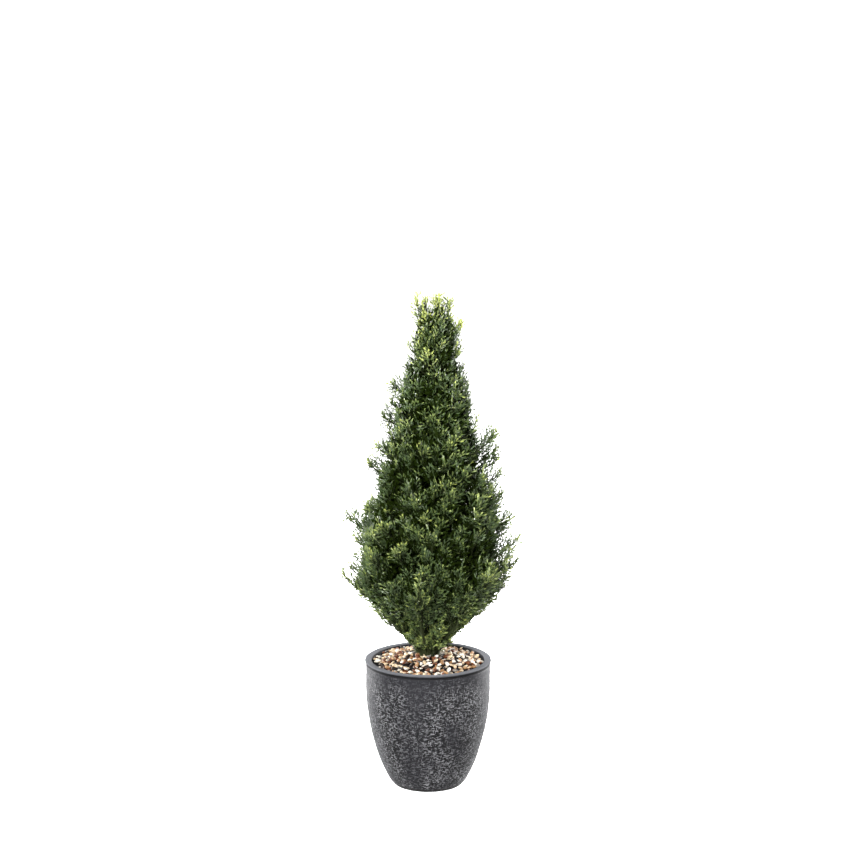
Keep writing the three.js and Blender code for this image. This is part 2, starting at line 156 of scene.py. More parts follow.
def around_axis(radius, azimuth, height):
    """Points at a radius, an azimuth round the upright axis and a height."""
    return np.stack(np.broadcast_arrays(radius * np.cos(azimuth), radius * np.sin(azimuth), height), -1)


def smooth(share):
    """A step from 0 to 1 with level ends."""
    share = np.clip(share, 0, 1)
    return share**2 * (3 - 2 * share)


def lattice_noise(around, up, cells_around, cell_up, seed):
    """Random heights from -1 to 1 on a lattice that closes round the pot, blended between its points."""
    rows = int(POT_HEIGHT / cell_up) + 3
    lattice = np.random.default_rng(seed).uniform(-1, 1, (rows, cells_around))
    column, row = around * cells_around, up / cell_up
    left, low = np.floor(column).astype(int), np.floor(row).astype(int)
    across, over = smooth(column - left), smooth(row - low)
    left, right = left % cells_around, (left + 1) % cells_around
    lower = lattice[low, left] * (1 - across) + lattice[low, right] * across
    upper = lattice[low + 1, left] * (1 - across) + lattice[low + 1, right] * across
    return lower * (1 - over) + upper * over


def arc(centre, radius, start, end, steps):
    """Points of a circular arc, with its angles in degrees from the outward direction."""
    angle = np.radians(np.linspace(start, end, steps))
    return np.stack([centre[0] + radius * np.cos(angle), centre[1] + radius * np.sin(angle)], 1)


def planter_profile():
    """Radius and height from the middle of the underside over wall, lip and inside to the floor."""
    under_lip = POT_HEIGHT - LIP_HEIGHT
    heights = under_lip * np.linspace(0, 1, WALL_ROWS) ** 1.25
    outside = np.stack([wall_radius(heights), heights], 1)
    groove = [[BODY_RADIUS - GROOVE, under_lip + 0.001], [BODY_RADIUS - GROOVE / 2, under_lip + 0.002]]
    edge = POT_HEIGHT - LIP_ROUNDING
    outer_edge = arc((LIP_RADIUS - LIP_ROUNDING, edge), LIP_ROUNDING, -40, 90, 9)
    inner_edge = arc((LIP_RADIUS - LIP_WIDTH + LIP_ROUNDING, edge), LIP_ROUNDING, 90, 180, 7)
    inner_heights = np.linspace(under_lip, POT_FLOOR, 16)
    inner_radii = np.minimum(wall_radius(inner_heights) - WALL, LIP_RADIUS - LIP_WIDTH)
    inside = np.stack([inner_radii, inner_heights], 1)
    return np.vstack([[[POLE, 0]], outside, groove, outer_edge, inner_edge, inside, [[POLE, POT_FLOOR]]])


def planter_points():
    """The profile turned round the axis, with the hatching pressed into the wall between foot and lip."""
    profile = planter_profile()
    around, radius = np.meshgrid(np.arange(ROUND_POT) / ROUND_POT, profile[:, 0])
    height = np.broadcast_to(profile[:, 1:], radius.shape)
    up = np.clip(height, 0, POT_HEIGHT)
    relief = sum(depth * lattice_noise(around, up, *cells, seed) for seed, (depth, *cells) in RELIEF.items())
    fade = np.clip(up / RELIEF_FADE, 0, 1) * np.clip((POT_HEIGHT - LIP_HEIGHT - up) / RELIEF_FADE, 0, 1)
    fade[0] = fade[1 + WALL_ROWS :] = 0
    return around_axis(radius + HATCH_DEPTH * fade * relief, 2 * np.pi * around, height).reshape(-1, 3)


# Stone-filled resin, cast in a hatched mould and rubbed with a pale wash: the wash stays on the ridges in
# short dashes, so the eye sees dull slate with a pale crosshatch that is worn thin in patches.
# Painted light and shade on the wall: darker towards the lip, near black under the lip, a black edge at the
# foot, and a lighter wash above the foot as light bounced from the floor.
SLATE = "#19191d"
WASH = "#727275"
BOUNCE_LIT_WASH = "#919194"  # near the foot: the wash painted lighter, as light bounced up from the floor
# height over which that painted bounce light fades out
BOUNCE_REACH = 0.12
# near black between the pale dashes, and painted shadow under the lip
GAP_BLACK_AND_LIP_SHADOW = "#030304"
# painted shadow at the foot, where the pot meets the floor
FOOT_SHADOW = "#020202"
WORN_LIP = "#46474b"
FOOT_LINE = 0.005  # height of the black edge at the foot: painted shadow where the pot meets the floor
FOOT_SHADE = 0.012  # and the height up to which that painted shadow fades out
# heights over which the wash thins towards the lip: a smoother band, with painted shade that darkens the top
# of the wall
TOP_SHADE_SPAN = POT_HEIGHT - 7 * LIP_HEIGHT, POT_HEIGHT - LIP_HEIGHT
# heights over which the wall under the lip and the lip's outer face are painted near black as the lip's
# shadow; the wall also turns rougher there
UNDER_LIP = POT_HEIGHT - 1.25 * LIP_HEIGHT, POT_HEIGHT - 1.05 * LIP_HEIGHT
ON_LIP = POT_HEIGHT - 0.35 * LIP_HEIGHT, POT_HEIGHT - 0.1 * LIP_HEIGHT
DASH_LENGTH = 0.0085
DASH_WIDTH = 0.0026  # drawn a little coarser than the real hatching, to show
PATCH_WIDTH = 0.06
WEFT = (1 / DASH_LENGTH, 1 / DASH_LENGTH, 1 / DASH_WIDTH)
WARP = (1 / DASH_WIDTH, 1 / DASH_WIDTH, 1 / DASH_LENGTH)
# The dashes, and how far they are turned, in radians
HATCH = [(WEFT, (0.15, 0.25, 0)), (WEFT, (-0.15, -0.3, 0.9)), (WARP, (0.1, 0.15, 0.4))]

slate_wash = finish("cast stone resin with rubbed wash")
place = add(slate_wash, "ShaderNodeTexCoord", {}).outputs["Object"]
hatch = []
for grid, angles in HATCH:
    laid = add(slate_wash, "ShaderNodeMapping", {"Vector": place, "Rotation": angles, "Scale": grid})
    dashes = add(slate_wash, "ShaderNodeTexNoise", {"Vector": laid.outputs[0], "Scale": 1.0, "Detail": 1.0})
    hatch.append(dashes.outputs[0])
crossed = add(slate_wash, "ShaderNodeMath", {0: hatch[0], 1: hatch[1]}, operation="MAXIMUM")
crossed = add(slate_wash, "ShaderNodeMath", {0: crossed.outputs[0], 1: hatch[2]}, operation="MAXIMUM")
stretch = (1 / PATCH_WIDTH, 1 / PATCH_WIDTH, 0.5 / PATCH_WIDTH)
spread = add(slate_wash, "ShaderNodeMapping", {"Vector": place, "Scale": stretch})
patches = add(slate_wash, "ShaderNodeTexNoise", {"Vector": spread.outputs[0], "Scale": 1.0, "Detail": 4.0})
height = add(slate_wash, "ShaderNodeSeparateXYZ", {0: place}).outputs["Z"]
ridges, wear, top_shade, bounce_light, under_lip, on_lip, above_foot_shadow, dullness = (
    add(slate_wash, "ShaderNodeMapRange", dict(enumerate(values))).outputs[0]
    for values in [
        (crossed.outputs[0], 0.575, 0.715, 0.0, 1.0),
        (patches.outputs[0], 0.36, 0.64, 0.3, 1.0),
        (height, *TOP_SHADE_SPAN, 1.0, 0.2),
        (height, 0.0, BOUNCE_REACH, 1.0, 0.0),
        (height, *UNDER_LIP, 1.0, 0.2),
        (height, *ON_LIP, 1.0, 0.0),
        (height, FOOT_LINE, FOOT_SHADE, 0.0, 1.0),
        (height, *UNDER_LIP, 0.5, 0.9),
    ]
)
# wash kept: worn thin in patches, and thinned towards the lip as painted shade
kept = add(slate_wash, "ShaderNodeMath", {0: wear, 1: top_shade}, operation="MULTIPLY").outputs[0]
rubbed = add(slate_wash, "ShaderNodeMath", {0: ridges, 1: kept}, operation="MULTIPLY").outputs[0]
tone = linear(BOUNCE_LIT_WASH)
for share, colour in [
    # painted bounce light: a lighter wash near the foot
    (bounce_light, WASH),
    (ridges, GAP_BLACK_AND_LIP_SHADOW),
    (kept, SLATE),
    # painted shadow under the lip
    (under_lip, GAP_BLACK_AND_LIP_SHADOW),
    (on_lip, WORN_LIP),
    # painted shadow at the foot
    (above_foot_shadow, FOOT_SHADOW),
]:
    layers = {0: share, 6: linear(colour), 7: tone}
    tone = add(slate_wash, "ShaderNodeMix", layers, data_type="RGBA").outputs[2]
raised = add(slate_wash, "ShaderNodeBump", {"Height": rubbed, "Strength": 0.5, "Distance": 0.0006})
look = {"Base Color": tone, "Roughness": dullness, "Specular IOR Level": 0.22}
coat(slate_wash, {**look, "Normal": raised.outputs[0]})

faces = grid_faces(len(planter_profile()), ROUND_POT)
put("planter_shell", planter_points(), faces, slate_wash, ["planter"])


# Filling
# A plug of hard foam in the planter, which holds the trunk. The pebbles cover it, so nothing of it shows.

FOAM_CELL = 0.002
FOAM_DARK, FOAM_LIGHT = "#2c241e", "#4a3d33"


def two_toned(material, pattern, dark, light, inputs):
    """Ends a material whose colour runs along a pattern from a dark tone to a light one."""
    layers = {0: pattern, 6: linear(dark), 7: linear(light)}
    tone = add(material, "ShaderNodeMix", layers, data_type="RGBA").outputs[2]
    coat(material, {"Base Color": tone, **inputs})


hard_foam = finish("cut hard foam")
place = add(hard_foam, "ShaderNodeTexCoord", {}).outputs["Object"]
cells = add(hard_foam, "ShaderNodeTexVoronoi", {"Vector": place, "Scale": 1 / FOAM_CELL})
two_toned(hard_foam, cells.outputs["Distance"], FOAM_DARK, FOAM_LIGHT, {"Roughness": 0.95})
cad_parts["planter_fill"].data.materials.clear()
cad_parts["planter_fill"].data.materials.append(hard_foam)


# Pebbles
# A mound of tumbled river pebbles of many colours, poured in up to just under the lip, over a near-black bed
# that paints the shade in the gaps between them.

trunk_low, trunk_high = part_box("trunk")
TRUNK_CLEARANCE = 0.0003
GROUND = trunk_low.z - TRUNK_CLEARANCE
PEBBLE_DROP = 0.005  # from the lip's top to the edge of the pebbles
MOUND_EDGE = POT_HEIGHT - PEBBLE_DROP
BED_RADIUS = LIP_RADIUS - LIP_WIDTH - 0.0006
SEAT_RADIUS = 0.024
PEBBLES = 470
PEBBLE_LENGTH = 0.0172
MOTTLE = 0.006  # width of the mottling on a stone
STONE_GRID = 6, 9  # rows and steps round of one stone
BED_SINK = 0.0085  # of the bed under the stones
GOLDEN_ANGLE = math.pi * (3 - math.sqrt(5))


def mound_height(radius):
    """Level at the trunk, then falling in half a cosine wave to the edge."""
    share = np.clip((radius - SEAT_RADIUS) / (BED_RADIUS - SEAT_RADIUS), 0, 1)
    return GROUND - (GROUND - MOUND_EDGE) * 0.5 * (1 - np.cos(np.pi * share))


def bed_points(rings, around):
    """The mound's surface sunk under the pebbles, on rings from the edge to the middle."""
    radius, angle = np.meshgrid(
        np.linspace(BED_RADIUS, POLE, rings), 2 * np.pi * np.arange(around) / around, indexing="ij"
    )
    sunk = BED_SINK + 0.0012 * np.sin(9 * angle) * np.sin(300 * radius)
    return around_axis(radius, angle, mound_height(radius) - sunk)


def ball(rows, around):
    """Points of a unit ball on a grid of latitudes and longitudes, with its poles nearly closed."""
    tilt, angle = np.meshgrid(
        np.linspace(-0.499, 0.499, rows) * np.pi, 2 * np.pi * np.arange(around) / around, indexing="ij"
    )
    return around_axis(np.cos(tilt), angle, np.sin(tilt)).reshape(-1, 3)


def turns(random, count, tilt):
    """Rotation matrices about the upright axis by any angle, after a tilt of up to so many radians."""
    heading, lean = random.uniform(0, 2 * np.pi, count), random.uniform(-tilt, tilt, (2, count))
    turned = np.tile(np.eye(3), (count, 1, 1))
    for angle, (i, j) in [(heading, (0, 1)), (lean[0], (1, 2)), (lean[1], (2, 0))]:
        step = np.tile(np.eye(3), (count, 1, 1))
        step[:, i, i] = step[:, j, j] = np.cos(angle)
        step[:, i, j], step[:, j, i] = -np.sin(angle), np.sin(angle)
        turned = turned @ step
    return turned


def pebble_points(random):
    """Lumpy, flattened balls spread over the mound by the golden angle, in two loose layers."""
    order = np.arange(PEBBLES)
    share = (order + 0.5) / PEBBLES
    radius = (BED_RADIUS - 0.4 * PEBBLE_LENGTH) * np.sqrt(share)
    angle = order * GOLDEN_ANGLE
    place = np.stack([radius * np.cos(angle), radius * np.sin(angle)], 1)
    place += random.normal(0, 0.18 * PEBBLE_LENGTH, place.shape)
    off = np.hypot(*place.T)
    place *= np.minimum(1, (BED_RADIUS - 0.45 * PEBBLE_LENGTH) / off)[:, None]
    height = mound_height(np.hypot(*place.T)) - 0.003 + random.uniform(0, 0.0055, PEBBLES)
    size = 0.5 * PEBBLE_LENGTH * random.uniform(0.54, 1.0, PEBBLES)
    width, thickness = random.uniform(0.48, 0.75, PEBBLES), random.uniform(0.3, 0.5, PEBBLES)
    shape = np.stack([np.ones(PEBBLES), width, thickness], 1)
    pebble = ball(*STONE_GRID)
    lumps = random.normal(0, 1, (PEBBLES, 3, 3))
    lump = 1 + 0.1 * np.sin(2.2 * np.einsum("vi,pij->pvj", pebble, lumps)).sum(-1)
    stones = pebble * lump[..., None] * (size[:, None] * shape)[:, None]
    stones = np.einsum("pij,pvj->pvi", turns(random, PEBBLES, 0.6), stones)
    return stones + np.column_stack([place, height])[:, None]


def copies(faces, points, count):
    """Faces of so many copies of a shape with so many points, one after the other."""
    return (faces + points * np.arange(count)[:, None, None]).reshape(-1, faces.shape[1])


def pebble_stone(name, light, dark, roughness):
    """Tumbled river stone: smooth but dull, with mottling of two close tones and fine pits."""
    stone = finish(name)
    place = add(stone, "ShaderNodeTexCoord", {}).outputs["Object"]
    mottle = add(stone, "ShaderNodeTexNoise", {"Vector": place, "Scale": 1 / MOTTLE, "Detail": 4.0})
    share = add(stone, "ShaderNodeMapRange", {0: mottle.outputs[0], 1: 0.35, 2: 0.65, 3: 0.0, 4: 1.0})
    pits = add(stone, "ShaderNodeBump", {"Height": mottle.outputs[0], "Strength": 0.3, "Distance": 0.0004})
    look = {"Roughness": roughness, "Specular IOR Level": 0.25, "IOR": 1.54, "Normal": pits.outputs[0]}
    two_toned(stone, share.outputs[0], dark, light, look)
    return stone


# Painted shade: a near-black bed under the stones, seen in the gaps between them
shadow_bed = pebble_stone("near-black bed of painted shade", "#0c0603", "#040201", 0.95)
bed = bed_points(24, 96)
put("pebble_mound", bed.reshape(-1, 3), grid_faces(*bed.shape[:2]), shadow_bed, ["pebble_bed"])

random = np.random.default_rng(11)
stones = pebble_points(random)
ball_faces = grid_faces(*STONE_GRID)
PEBBLE_KINDS = [
    ("cream", "#b4a184", "#86735a", 0.26),
    ("white", "#cac4b9", "#a29a8c", 0.17),
    ("tan", "#8f6c49", "#64482d", 0.21),
    ("rust", "#5e3419", "#3c1e0d", 0.16),
    ("grey", "#6e6962", "#4b4741", 0.09),
    ("umber", "#2a1a0d", "#140b04", 0.11),
]
kind_of_stone = random.choice(len(PEBBLE_KINDS), PEBBLES, p=[kind[3] for kind in PEBBLE_KINDS])
for number, (colour, light, dark, share) in enumerate(PEBBLE_KINDS):
    chosen = stones[kind_of_stone == number]
    faces = copies(ball_faces, stones.shape[1], len(chosen))
    stone = pebble_stone(f"tumbled {colour} river stone", light, dark, 0.55)
    put(f"pebbles_{colour}", chosen.reshape(-1, 3), faces, stone, ["pebble_bed"])


# Trunk and boughs
# A slim moulded pole with a small root flare, set into the filling, and the boughs of the three lower tiers.
# Both are cast with the long cracked ridges of bark.

TREE_HEIGHT = cad_high.z - GROUND
LEAN = 0.020  # sideways shift of the top, towards +X
TRUNK_TOP = trunk_high.z - GROUND
TRUNK_RADIUS = 0.011
TRUNK_TIP_RADIUS = 0.0035
FLARE_RADIUS = 0.017
FLARE_HEIGHT = 0.036
BARK_RELIEF = 0.14  # of the ridges, as a share of the limb's radius

CROWN_RADIUS = 0.216
CROWN_SHOULDER = 0.300  # height where the crown starts to taper
NECK_RADIUS = 0.078
NECK_HEIGHT = 0.720  # height where the crown's slim top begins
CROWN_TOP_RADIUS = 0.045
TIER_LIMBS = np.array([7, 6, 5, 5, 4, 3])  # limbs in each tier, from the ground up
LOWEST_TIPS = 0.212
HIGHEST_TIPS = 0.800
LOWEST_RISE = math.radians(44)
HIGHEST_RISE = math.radians(66)
TIER_TURN = math.radians(27)  # from one tier's first limb to the next tier's
STRAIGHTNESS = 0.7  # 1 is a straight limb, less lets it sweep up towards its tip
SIDE_SCATTER = 0.16  # how far a limb may stand off its sector's middle, as a share of the sector
REACH_SCATTER = 0.05  # how much a limb's reach and climb differ from its tier's
BOUGHED_TIERS = 3
BOUGH_SHARE = 0.2  # share of the limb's reach where the foliage takes over
BOUGH_RADIUS = 0.0042
STEM_RADIUS = 0.003


def scatter(a, b):
    """A repeatable value from -1 to 1 for two whole numbers: the broken-off part of a tall sine wave."""
    wave = np.sin(a * 12.9898 + b * 78.233) * 43758.5453
    return 2 * (wave - np.floor(wave)) - 1


def crown_radius(height):
    """The crown's full radius up to its shoulder, a taper to its neck, and a lesser one to its top."""
    heights = [CROWN_SHOULDER, NECK_HEIGHT, TREE_HEIGHT]
    return np.interp(height, heights, [CROWN_RADIUS, NECK_RADIUS, CROWN_TOP_RADIUS])


def rise(share):
    """Share of a limb's climb at a share of its reach: it starts lower and sweeps up."""
    return STRAIGHTNESS * share + (1 - STRAIGHTNESS) * share**2


tier_share = np.arange(len(TIER_LIMBS)) / (len(TIER_LIMBS) - 1)
tier_tips = LOWEST_TIPS + (HIGHEST_TIPS - LOWEST_TIPS) * tier_share
tier_reach = crown_radius(tier_tips)
tier_climb = tier_reach * np.tan(LOWEST_RISE + (HIGHEST_RISE - LOWEST_RISE) * tier_share)
tier_root = tier_tips - tier_climb

limb_tier = np.repeat(np.arange(len(TIER_LIMBS)), TIER_LIMBS)
limb_index = np.concatenate([np.arange(limbs) for limbs in TIER_LIMBS])
limb_mark = 10 * limb_tier + limb_index
limb_sector = np.pi / TIER_LIMBS[limb_tier]
limb_azimuth = TIER_TURN * limb_tier + 2 * limb_sector * limb_index
limb_azimuth = limb_azimuth + SIDE_SCATTER * limb_sector * scatter(limb_mark, 1)
limb_reach = tier_reach[limb_tier] * (1 + REACH_SCATTER * scatter(limb_mark, 2))
limb_climb = tier_climb[limb_tier] * (1 + REACH_SCATTER * (scatter(limb_mark, 2) + scatter(limb_mark, 3)))
limb_root = tier_root[limb_tier]
limb_name = [f"{tier + 1}{'abcdefg'[index]}" for tier, index in zip(limb_tier, limb_index)]


def unit(vectors):
    """The same directions with a length of one."""
    return vectors / np.linalg.norm(vectors, axis=-1, keepdims=True)


def limb_point(limb, share):
    """A point of a limb, straight out from the trunk's axis and rising along its sweep."""
    radius = share * limb_reach[limb]
    height = limb_root[limb] + limb_climb[limb] * rise(share)
    return around_axis(radius, limb_azimuth[limb], height)


def leaned(points):
    """Points of the upright plant, leaned over by a shear and set on the ground."""
    shift = points[..., 2:] * [LEAN / TREE_HEIGHT, 0, 0]
    return points + shift + [0, 0, GROUND]


def crossed_axes(along):
    """Two directions square to a path: to its side, and over it."""
    upright = np.abs(along[..., 2:]) > 0.999
    side = np.stack([-along[..., 1], along[..., 0], np.zeros(along.shape[:-1])], -1)
    side = unit(np.where(upright, [1.0, 0, 0], side))
    return side, np.cross(along, side)


def tubes(paths, radii, around):
    """Tubes along many paths at once: at each point of a path a ring square to it, of the radius there.
    Returns the points by tube, ring and step round, and the faces of all tubes."""
    count, steps = paths.shape[:2]
    along = unit(np.gradient(paths, axis=1))
    side, over = crossed_axes(along)
    angle = 2 * np.pi * np.arange(around) / around
    ring = np.cos(angle)[:, None] * side[:, :, None] + np.sin(angle)[:, None] * over[:, :, None]
    points = paths[:, :, None] + np.asarray(radii)[..., None, None] * ring
    return points, copies(grid_faces(steps, around), steps * around, count)


def barked(paths, radii, around, seed):
    """Tubes whose radius swells and cracks in long ridges, each a random wave that drifts up the limb."""
    random = np.random.default_rng(seed)
    points, faces = tubes(paths, radii, around)
    steps = paths.shape[1]
    angle = 2 * np.pi * np.arange(around) / around
    climb = np.linspace(0, 1, steps)[:, None]
    ridges = sum(
        np.sin(waves * angle + random.uniform(0, 6.3) + 2.2 * np.sin(random.uniform(4, 16) * climb + waves))
        for waves in (3, 5, 7, 11)
    )
    swell = 1 + BARK_RELIEF * 0.25 * ridges
    middle = paths[:, :, None]
    return leaned(middle + (points - middle) * swell[None, :, :, None]).reshape(-1, 3), faces


def capped(radii):
    """Radii whose first and last ring close to a point."""
    return np.concatenate([[POLE], radii[1:-1], [POLE]])


# Resin cast and tinted like bark: dull brown, dark in the cracks and greyer on the ridges.
BARK_DARK, BARK_LIGHT = "#140f09", "#3d3124"
CRACK_WIDTH, CRACK_LENGTH = 0.003, 0.02
brown_bark = finish("tinted cast resin bark")
place = add(brown_bark, "ShaderNodeTexCoord", {}).outputs["Object"]
stretch = (1 / CRACK_WIDTH, 1 / CRACK_WIDTH, 1 / CRACK_LENGTH)
grain = add(brown_bark, "ShaderNodeMapping", {"Vector": place, "Scale": stretch})
cracks = add(brown_bark, "ShaderNodeTexNoise", {"Vector": grain.outputs[0], "Scale": 1.0, "Detail": 4.0})
raised = add(brown_bark, "ShaderNodeBump", {"Height": cracks.outputs[0], "Strength": 0.6, "Distance": 0.001})
look = {"Roughness": 0.9, "Specular IOR Level": 0.15, "Normal": raised.outputs[0]}
two_toned(brown_bark, cracks.outputs[0], BARK_DARK, BARK_LIGHT, look)

heights = np.linspace(TRUNK_CLEARANCE, TRUNK_TOP, 180)
trunk_path = np.stack([0 * heights, 0 * heights, heights], 1)[None]
flare = np.maximum(0, 1 - heights / FLARE_HEIGHT) ** 2
trunk_radii = TRUNK_RADIUS + (TRUNK_TIP_RADIUS - TRUNK_RADIUS) * heights / TRUNK_TOP
trunk_radii = capped(trunk_radii + (FLARE_RADIUS - TRUNK_RADIUS) * flare)
points, faces = barked(trunk_path, trunk_radii, 36, 21)
put("trunk_bark", points, faces, brown_bark, ["trunk"])

boughed = np.flatnonzero(limb_tier < BOUGHED_TIERS)
shares = np.linspace(0.02, BOUGH_SHARE, 24)
bough_paths = limb_point(boughed[:, None], shares[None])
bough_radii = capped(BOUGH_RADIUS + (STEM_RADIUS - BOUGH_RADIUS) * shares / BOUGH_SHARE)
points, faces = barked(bough_paths, bough_radii, 12, 22)
put("bough_bark", points, faces, brown_bark, [f"bough_{limb_name[i]}" for i in boughed])


# Foliage
# Sprays of moulded polyethylene: slim leaves set by turns along fine twigs, which are set by turns along a
# rib. The sprays are pressed onto wired stems that fork from the boughs and from the trunk.

FORKS = 12  # stems that fork from one limb
FORK_FROM = 0.2  # share of the limb's reach where the first stem forks off
FORK_TO = 0.5  # and where the last one does
FORK_LEVEL = 0.45  # how much a stem levels out towards its tip, 0 is straight
FORK_SIDE = 0.9  # how far stems part, as a share of the limb's sector
TIP_SPRAY = 0.026  # from a stem's tip to its sprays' outline
LIMB_OUTLINE = 1.00  # of the crown's outline, that most stems' sprays keep to
OUTLINE_SCATTER = 0.07  # from stem to stem
LIMB_SCATTER = 0.06  # from limb to limb
SECTOR_GROOVE = 0.12  # less between two limbs of a tier
TIER_GROOVE = 0.07  # less between two tiers
RAGGED = 0.10  # how much a single spray may fall short of that
AHEAD = 0.09  # how much less far stems go to the front and the back
BESIDE = 0.15  # how much less far stems go to both sides, where long shoots stand out between them
UNDERSIDE = 0.0051  # how far leaves hang under the lowest limbs
BARE_END = 0.06  # how far inside the outline of its sprays a stem ends

# Tips of the leader's shoots: out to the side, to the back, and up
LEADER_TIPS = np.array(
    [(-0.045, 0.004, 0.892), (-0.026, -0.014, 0.875), (0.002, -0.012, 0.895)]
    + [(0.006, 0.026, 0.875), (0.032, 0.006, 0.880), (0.056, -0.006, 0.828)]
)
LEADER_DROP = 0.05  # from the trunk's top to where they part
# Tips of the long shoots that stand out of the crown to both sides: out to the side, and up
LONG_SHOOTS = np.array(
    [(0.056, 0.746), (0.067, 0.704), (0.088, 0.665), (0.091, 0.629), (0.111, 0.587), (0.158, 0.561)]
    + [(0.161, 0.520), (0.164, 0.492), (0.170, 0.461), (0.178, 0.414), (0.171, 0.385), (0.203, 0.359)]
    + [(0.194, 0.324), (0.214, 0.300), (0.200, 0.264), (0.212, 0.234), (0.192, 0.197), (0.180, 0.167)]
    + [(0.158, 0.142), (0.152, 0.113), (0.116, 0.086)]
    + [(-0.061, 0.768), (-0.074, 0.719), (-0.108, 0.673), (-0.109, 0.633), (-0.130, 0.602)]
    + [(-0.139, 0.536), (-0.122, 0.508), (-0.157, 0.478), (-0.112, 0.416), (-0.153, 0.377)]
    + [(-0.207, 0.354), (-0.185, 0.295), (-0.178, 0.246), (-0.197, 0.220), (-0.206, 0.203)]
    + [(-0.187, 0.182), (-0.138, 0.134), (-0.118, 0.092)]
)
SHOOT_RISE = math.radians(36)
SHOOT_FROM = 0.55  # share of its reach where a long shoot starts
SHOOT_TIP = 0.007  # from the tips of its leaves back to its own
SHOOT_DROP = 0.012  # and down to it
SHOOT_DEPTH = 0.03  # how far to the front or the back it may end
SHOOT_COVER = 0.012  # how far over the crown's underside it starts at least
SHOOT_SAG = 0.028  # how much lower than that its tip may be
ROUND_SHOOTS = 44  # long shoots to the front and the back, by turns
ROUND_SPREAD = math.radians(50)  # to either side of straight ahead
ROUND_HEIGHTS = 0.20, 0.76  # of the lowest and the highest tip
ROUND_OUTLINE = 0.995  # of the crown's outline, where they end
ROUND_SCATTER = 0.035
ROUND_COVER = 0.010
FOOT_FRONDS = 64  # that grow from the pebbles round the trunk
FROND_BASE = 0.006  # radius of the innermost frond's foot
FROND_SPREAD = 0.009  # how much further out the others stand
FROND_REACH = 0.079  # radius of the outermost tip
FROND_HEIGHT = 0.100
FROND_SUNK = 0.004  # of its foot among the pebbles
INNER_STEMS = 12
INNER_FOOT = 0.12  # height where they start
INNER_OUTLINE = 0.75
INNER_RADII = [0.12, 0.42]  # by turns, as shares of the crown's radius
INNER_TURN = 5.0  # of an inner stem round the trunk, in radians
INNER_SPREAD = math.radians(62)  # between an inner stem and its sprays

STEM_STEPS = 24
SPRAY_STEP = 0.0100  # between sprays along a stem
TUFT_STEP = 0.016  # between the short sprays that hide a stem
TUFT_LENGTH = 0.028
LOW_START = 0.12  # share of a stem before its first spray, in the lowest tier
SHOOT_START = 0.13  # on a long shoot
OTHER_START = 0.04
TIP_ROOM = 0.018  # from the tips of stems that fork from no limb to their sprays' outline
STEM_HANG = 0.018  # how far a stem may hang under the crown's underside
LIMB_HANG = 0.015  # and a limb's sprays, up or down
SHOOT_HANG = 0.004  # and a long shoot's
LOW_HANG = 0.022  # and those of one with a low tip
LOW_TIP = 0.24
LOW_SHOOT = 0.14  # height of a shoot's tip below which its sprays aren't lifted
FROND_HANG = 0.004
FROND_UNEVEN = 0.006
FROND_FOOT_HANG = 0.012  # more for sprays close to the pebbles
FROND_FOOT = 0.025
SPRAY_SPREAD = math.radians(36)  # between a spray and its stem
SPRAY_DOWN = 0.35  # how far below its stem a spray may turn, in half turns
SPREAD_SCATTER = 0.3  # how much one spray's spread differs from the next one's
SPRAY_LENGTH = 0.062  # in the lowest tier
TOP_SPRAY_LENGTH = 0.048  # in the highest tier
SHOOT_SPRAY_LENGTH = 0.046  # on a long shoot and the leader
FOOT_SPRAY_LENGTH = 0.032
LENGTH_SCATTER = 0.2
SPRAY_FITS = [1, 0.88, 0.76, 0.64, 0.52, 0.4, 0.3]  # shares of its length that a spray is tried at
LEAST_SPRAY = 0.012
SPRAY_LIFT = 0.8  # how much a spray turns upward from its stem's way
LOW_LIFT = 0.35  # in the lowest tier and on long shoots
SPRAY_ZONE = 0.065  # of a stem's end that carries sprays
SPRAY_SWEEP = 0.10  # how far a spray's end sweeps up, as a share of its length
SPRAY_ROLL = 0.6  # how far a spray's flat side turns from its stem, in radians
TWIG_STEP = 0.0062  # between twigs, which alternate to either side of the rib
TWIGS = 11  # at most, on one spray
FIRST_TWIG = 0.007  # from a spray's root
TWIG_TILT = 0.25  # how far a twig stands out of its spray's plane
TWIG_ANGLE = math.radians(37)
TWIG_LENGTH = 0.023
END_TWIG = 0.016  # the last part of a rib, which carries leaves of its own
LEAF_STEP = 0.0060  # between leaves, which alternate to either side of the twig
LEAVES = 4  # at most, along one twig
LEAF_ANGLE = math.radians(15)
LEAF_LENGTH = 0.0110
LEAF_WIDTH = 0.0026
LEAF_THICKNESS = 0.0022
SHADED_STEP = 0.022  # between the few wide leaves of a twig in the shade
SHADED_LENGTH = 0.018
SHADED_WIDTH = 0.0065
RIB_RADIUS = 0.0010
TWIG_RADIUS = 0.0007
TIP_GROWTH = 0.007  # of leaves past the end of a rib
SHADE_DEPTH = 0.042  # in the crown, over which leaves are painted darker as shade
FOOT_DEPTH = 0.011  # that a foot frond counts as
TOP_LIGHT = 1.8  # how much lighter the colours dealt at the crown's top are
SHADED_BELOW = -0.7  # score of freshness and painted shade below which twigs carry only shaded leaves
COLOUR_STEPS = [-0.3, 0.02, 0.42]  # score of freshness and painted shade between one colour and the next


def underside(radius):
    """Height of the crown's underside: a little under the line of the lowest limbs."""
    return tier_root[0] + tier_climb[0] * rise(radius / tier_reach[0]) - UNDERSIDE


def in_crown(points, share, hang):
    """Whether points are inside the crown's outline drawn to a share, and hang no lower than allowed."""
    radius, height = np.hypot(points[..., 0], points[..., 1]), points[..., 2]
    inside = (radius < share * crown_radius(height)) & (height > underside(radius) - hang)
    return inside & (height < TREE_HEIGHT)


stem_share = np.linspace(0, 1, STEM_STEPS + 1)


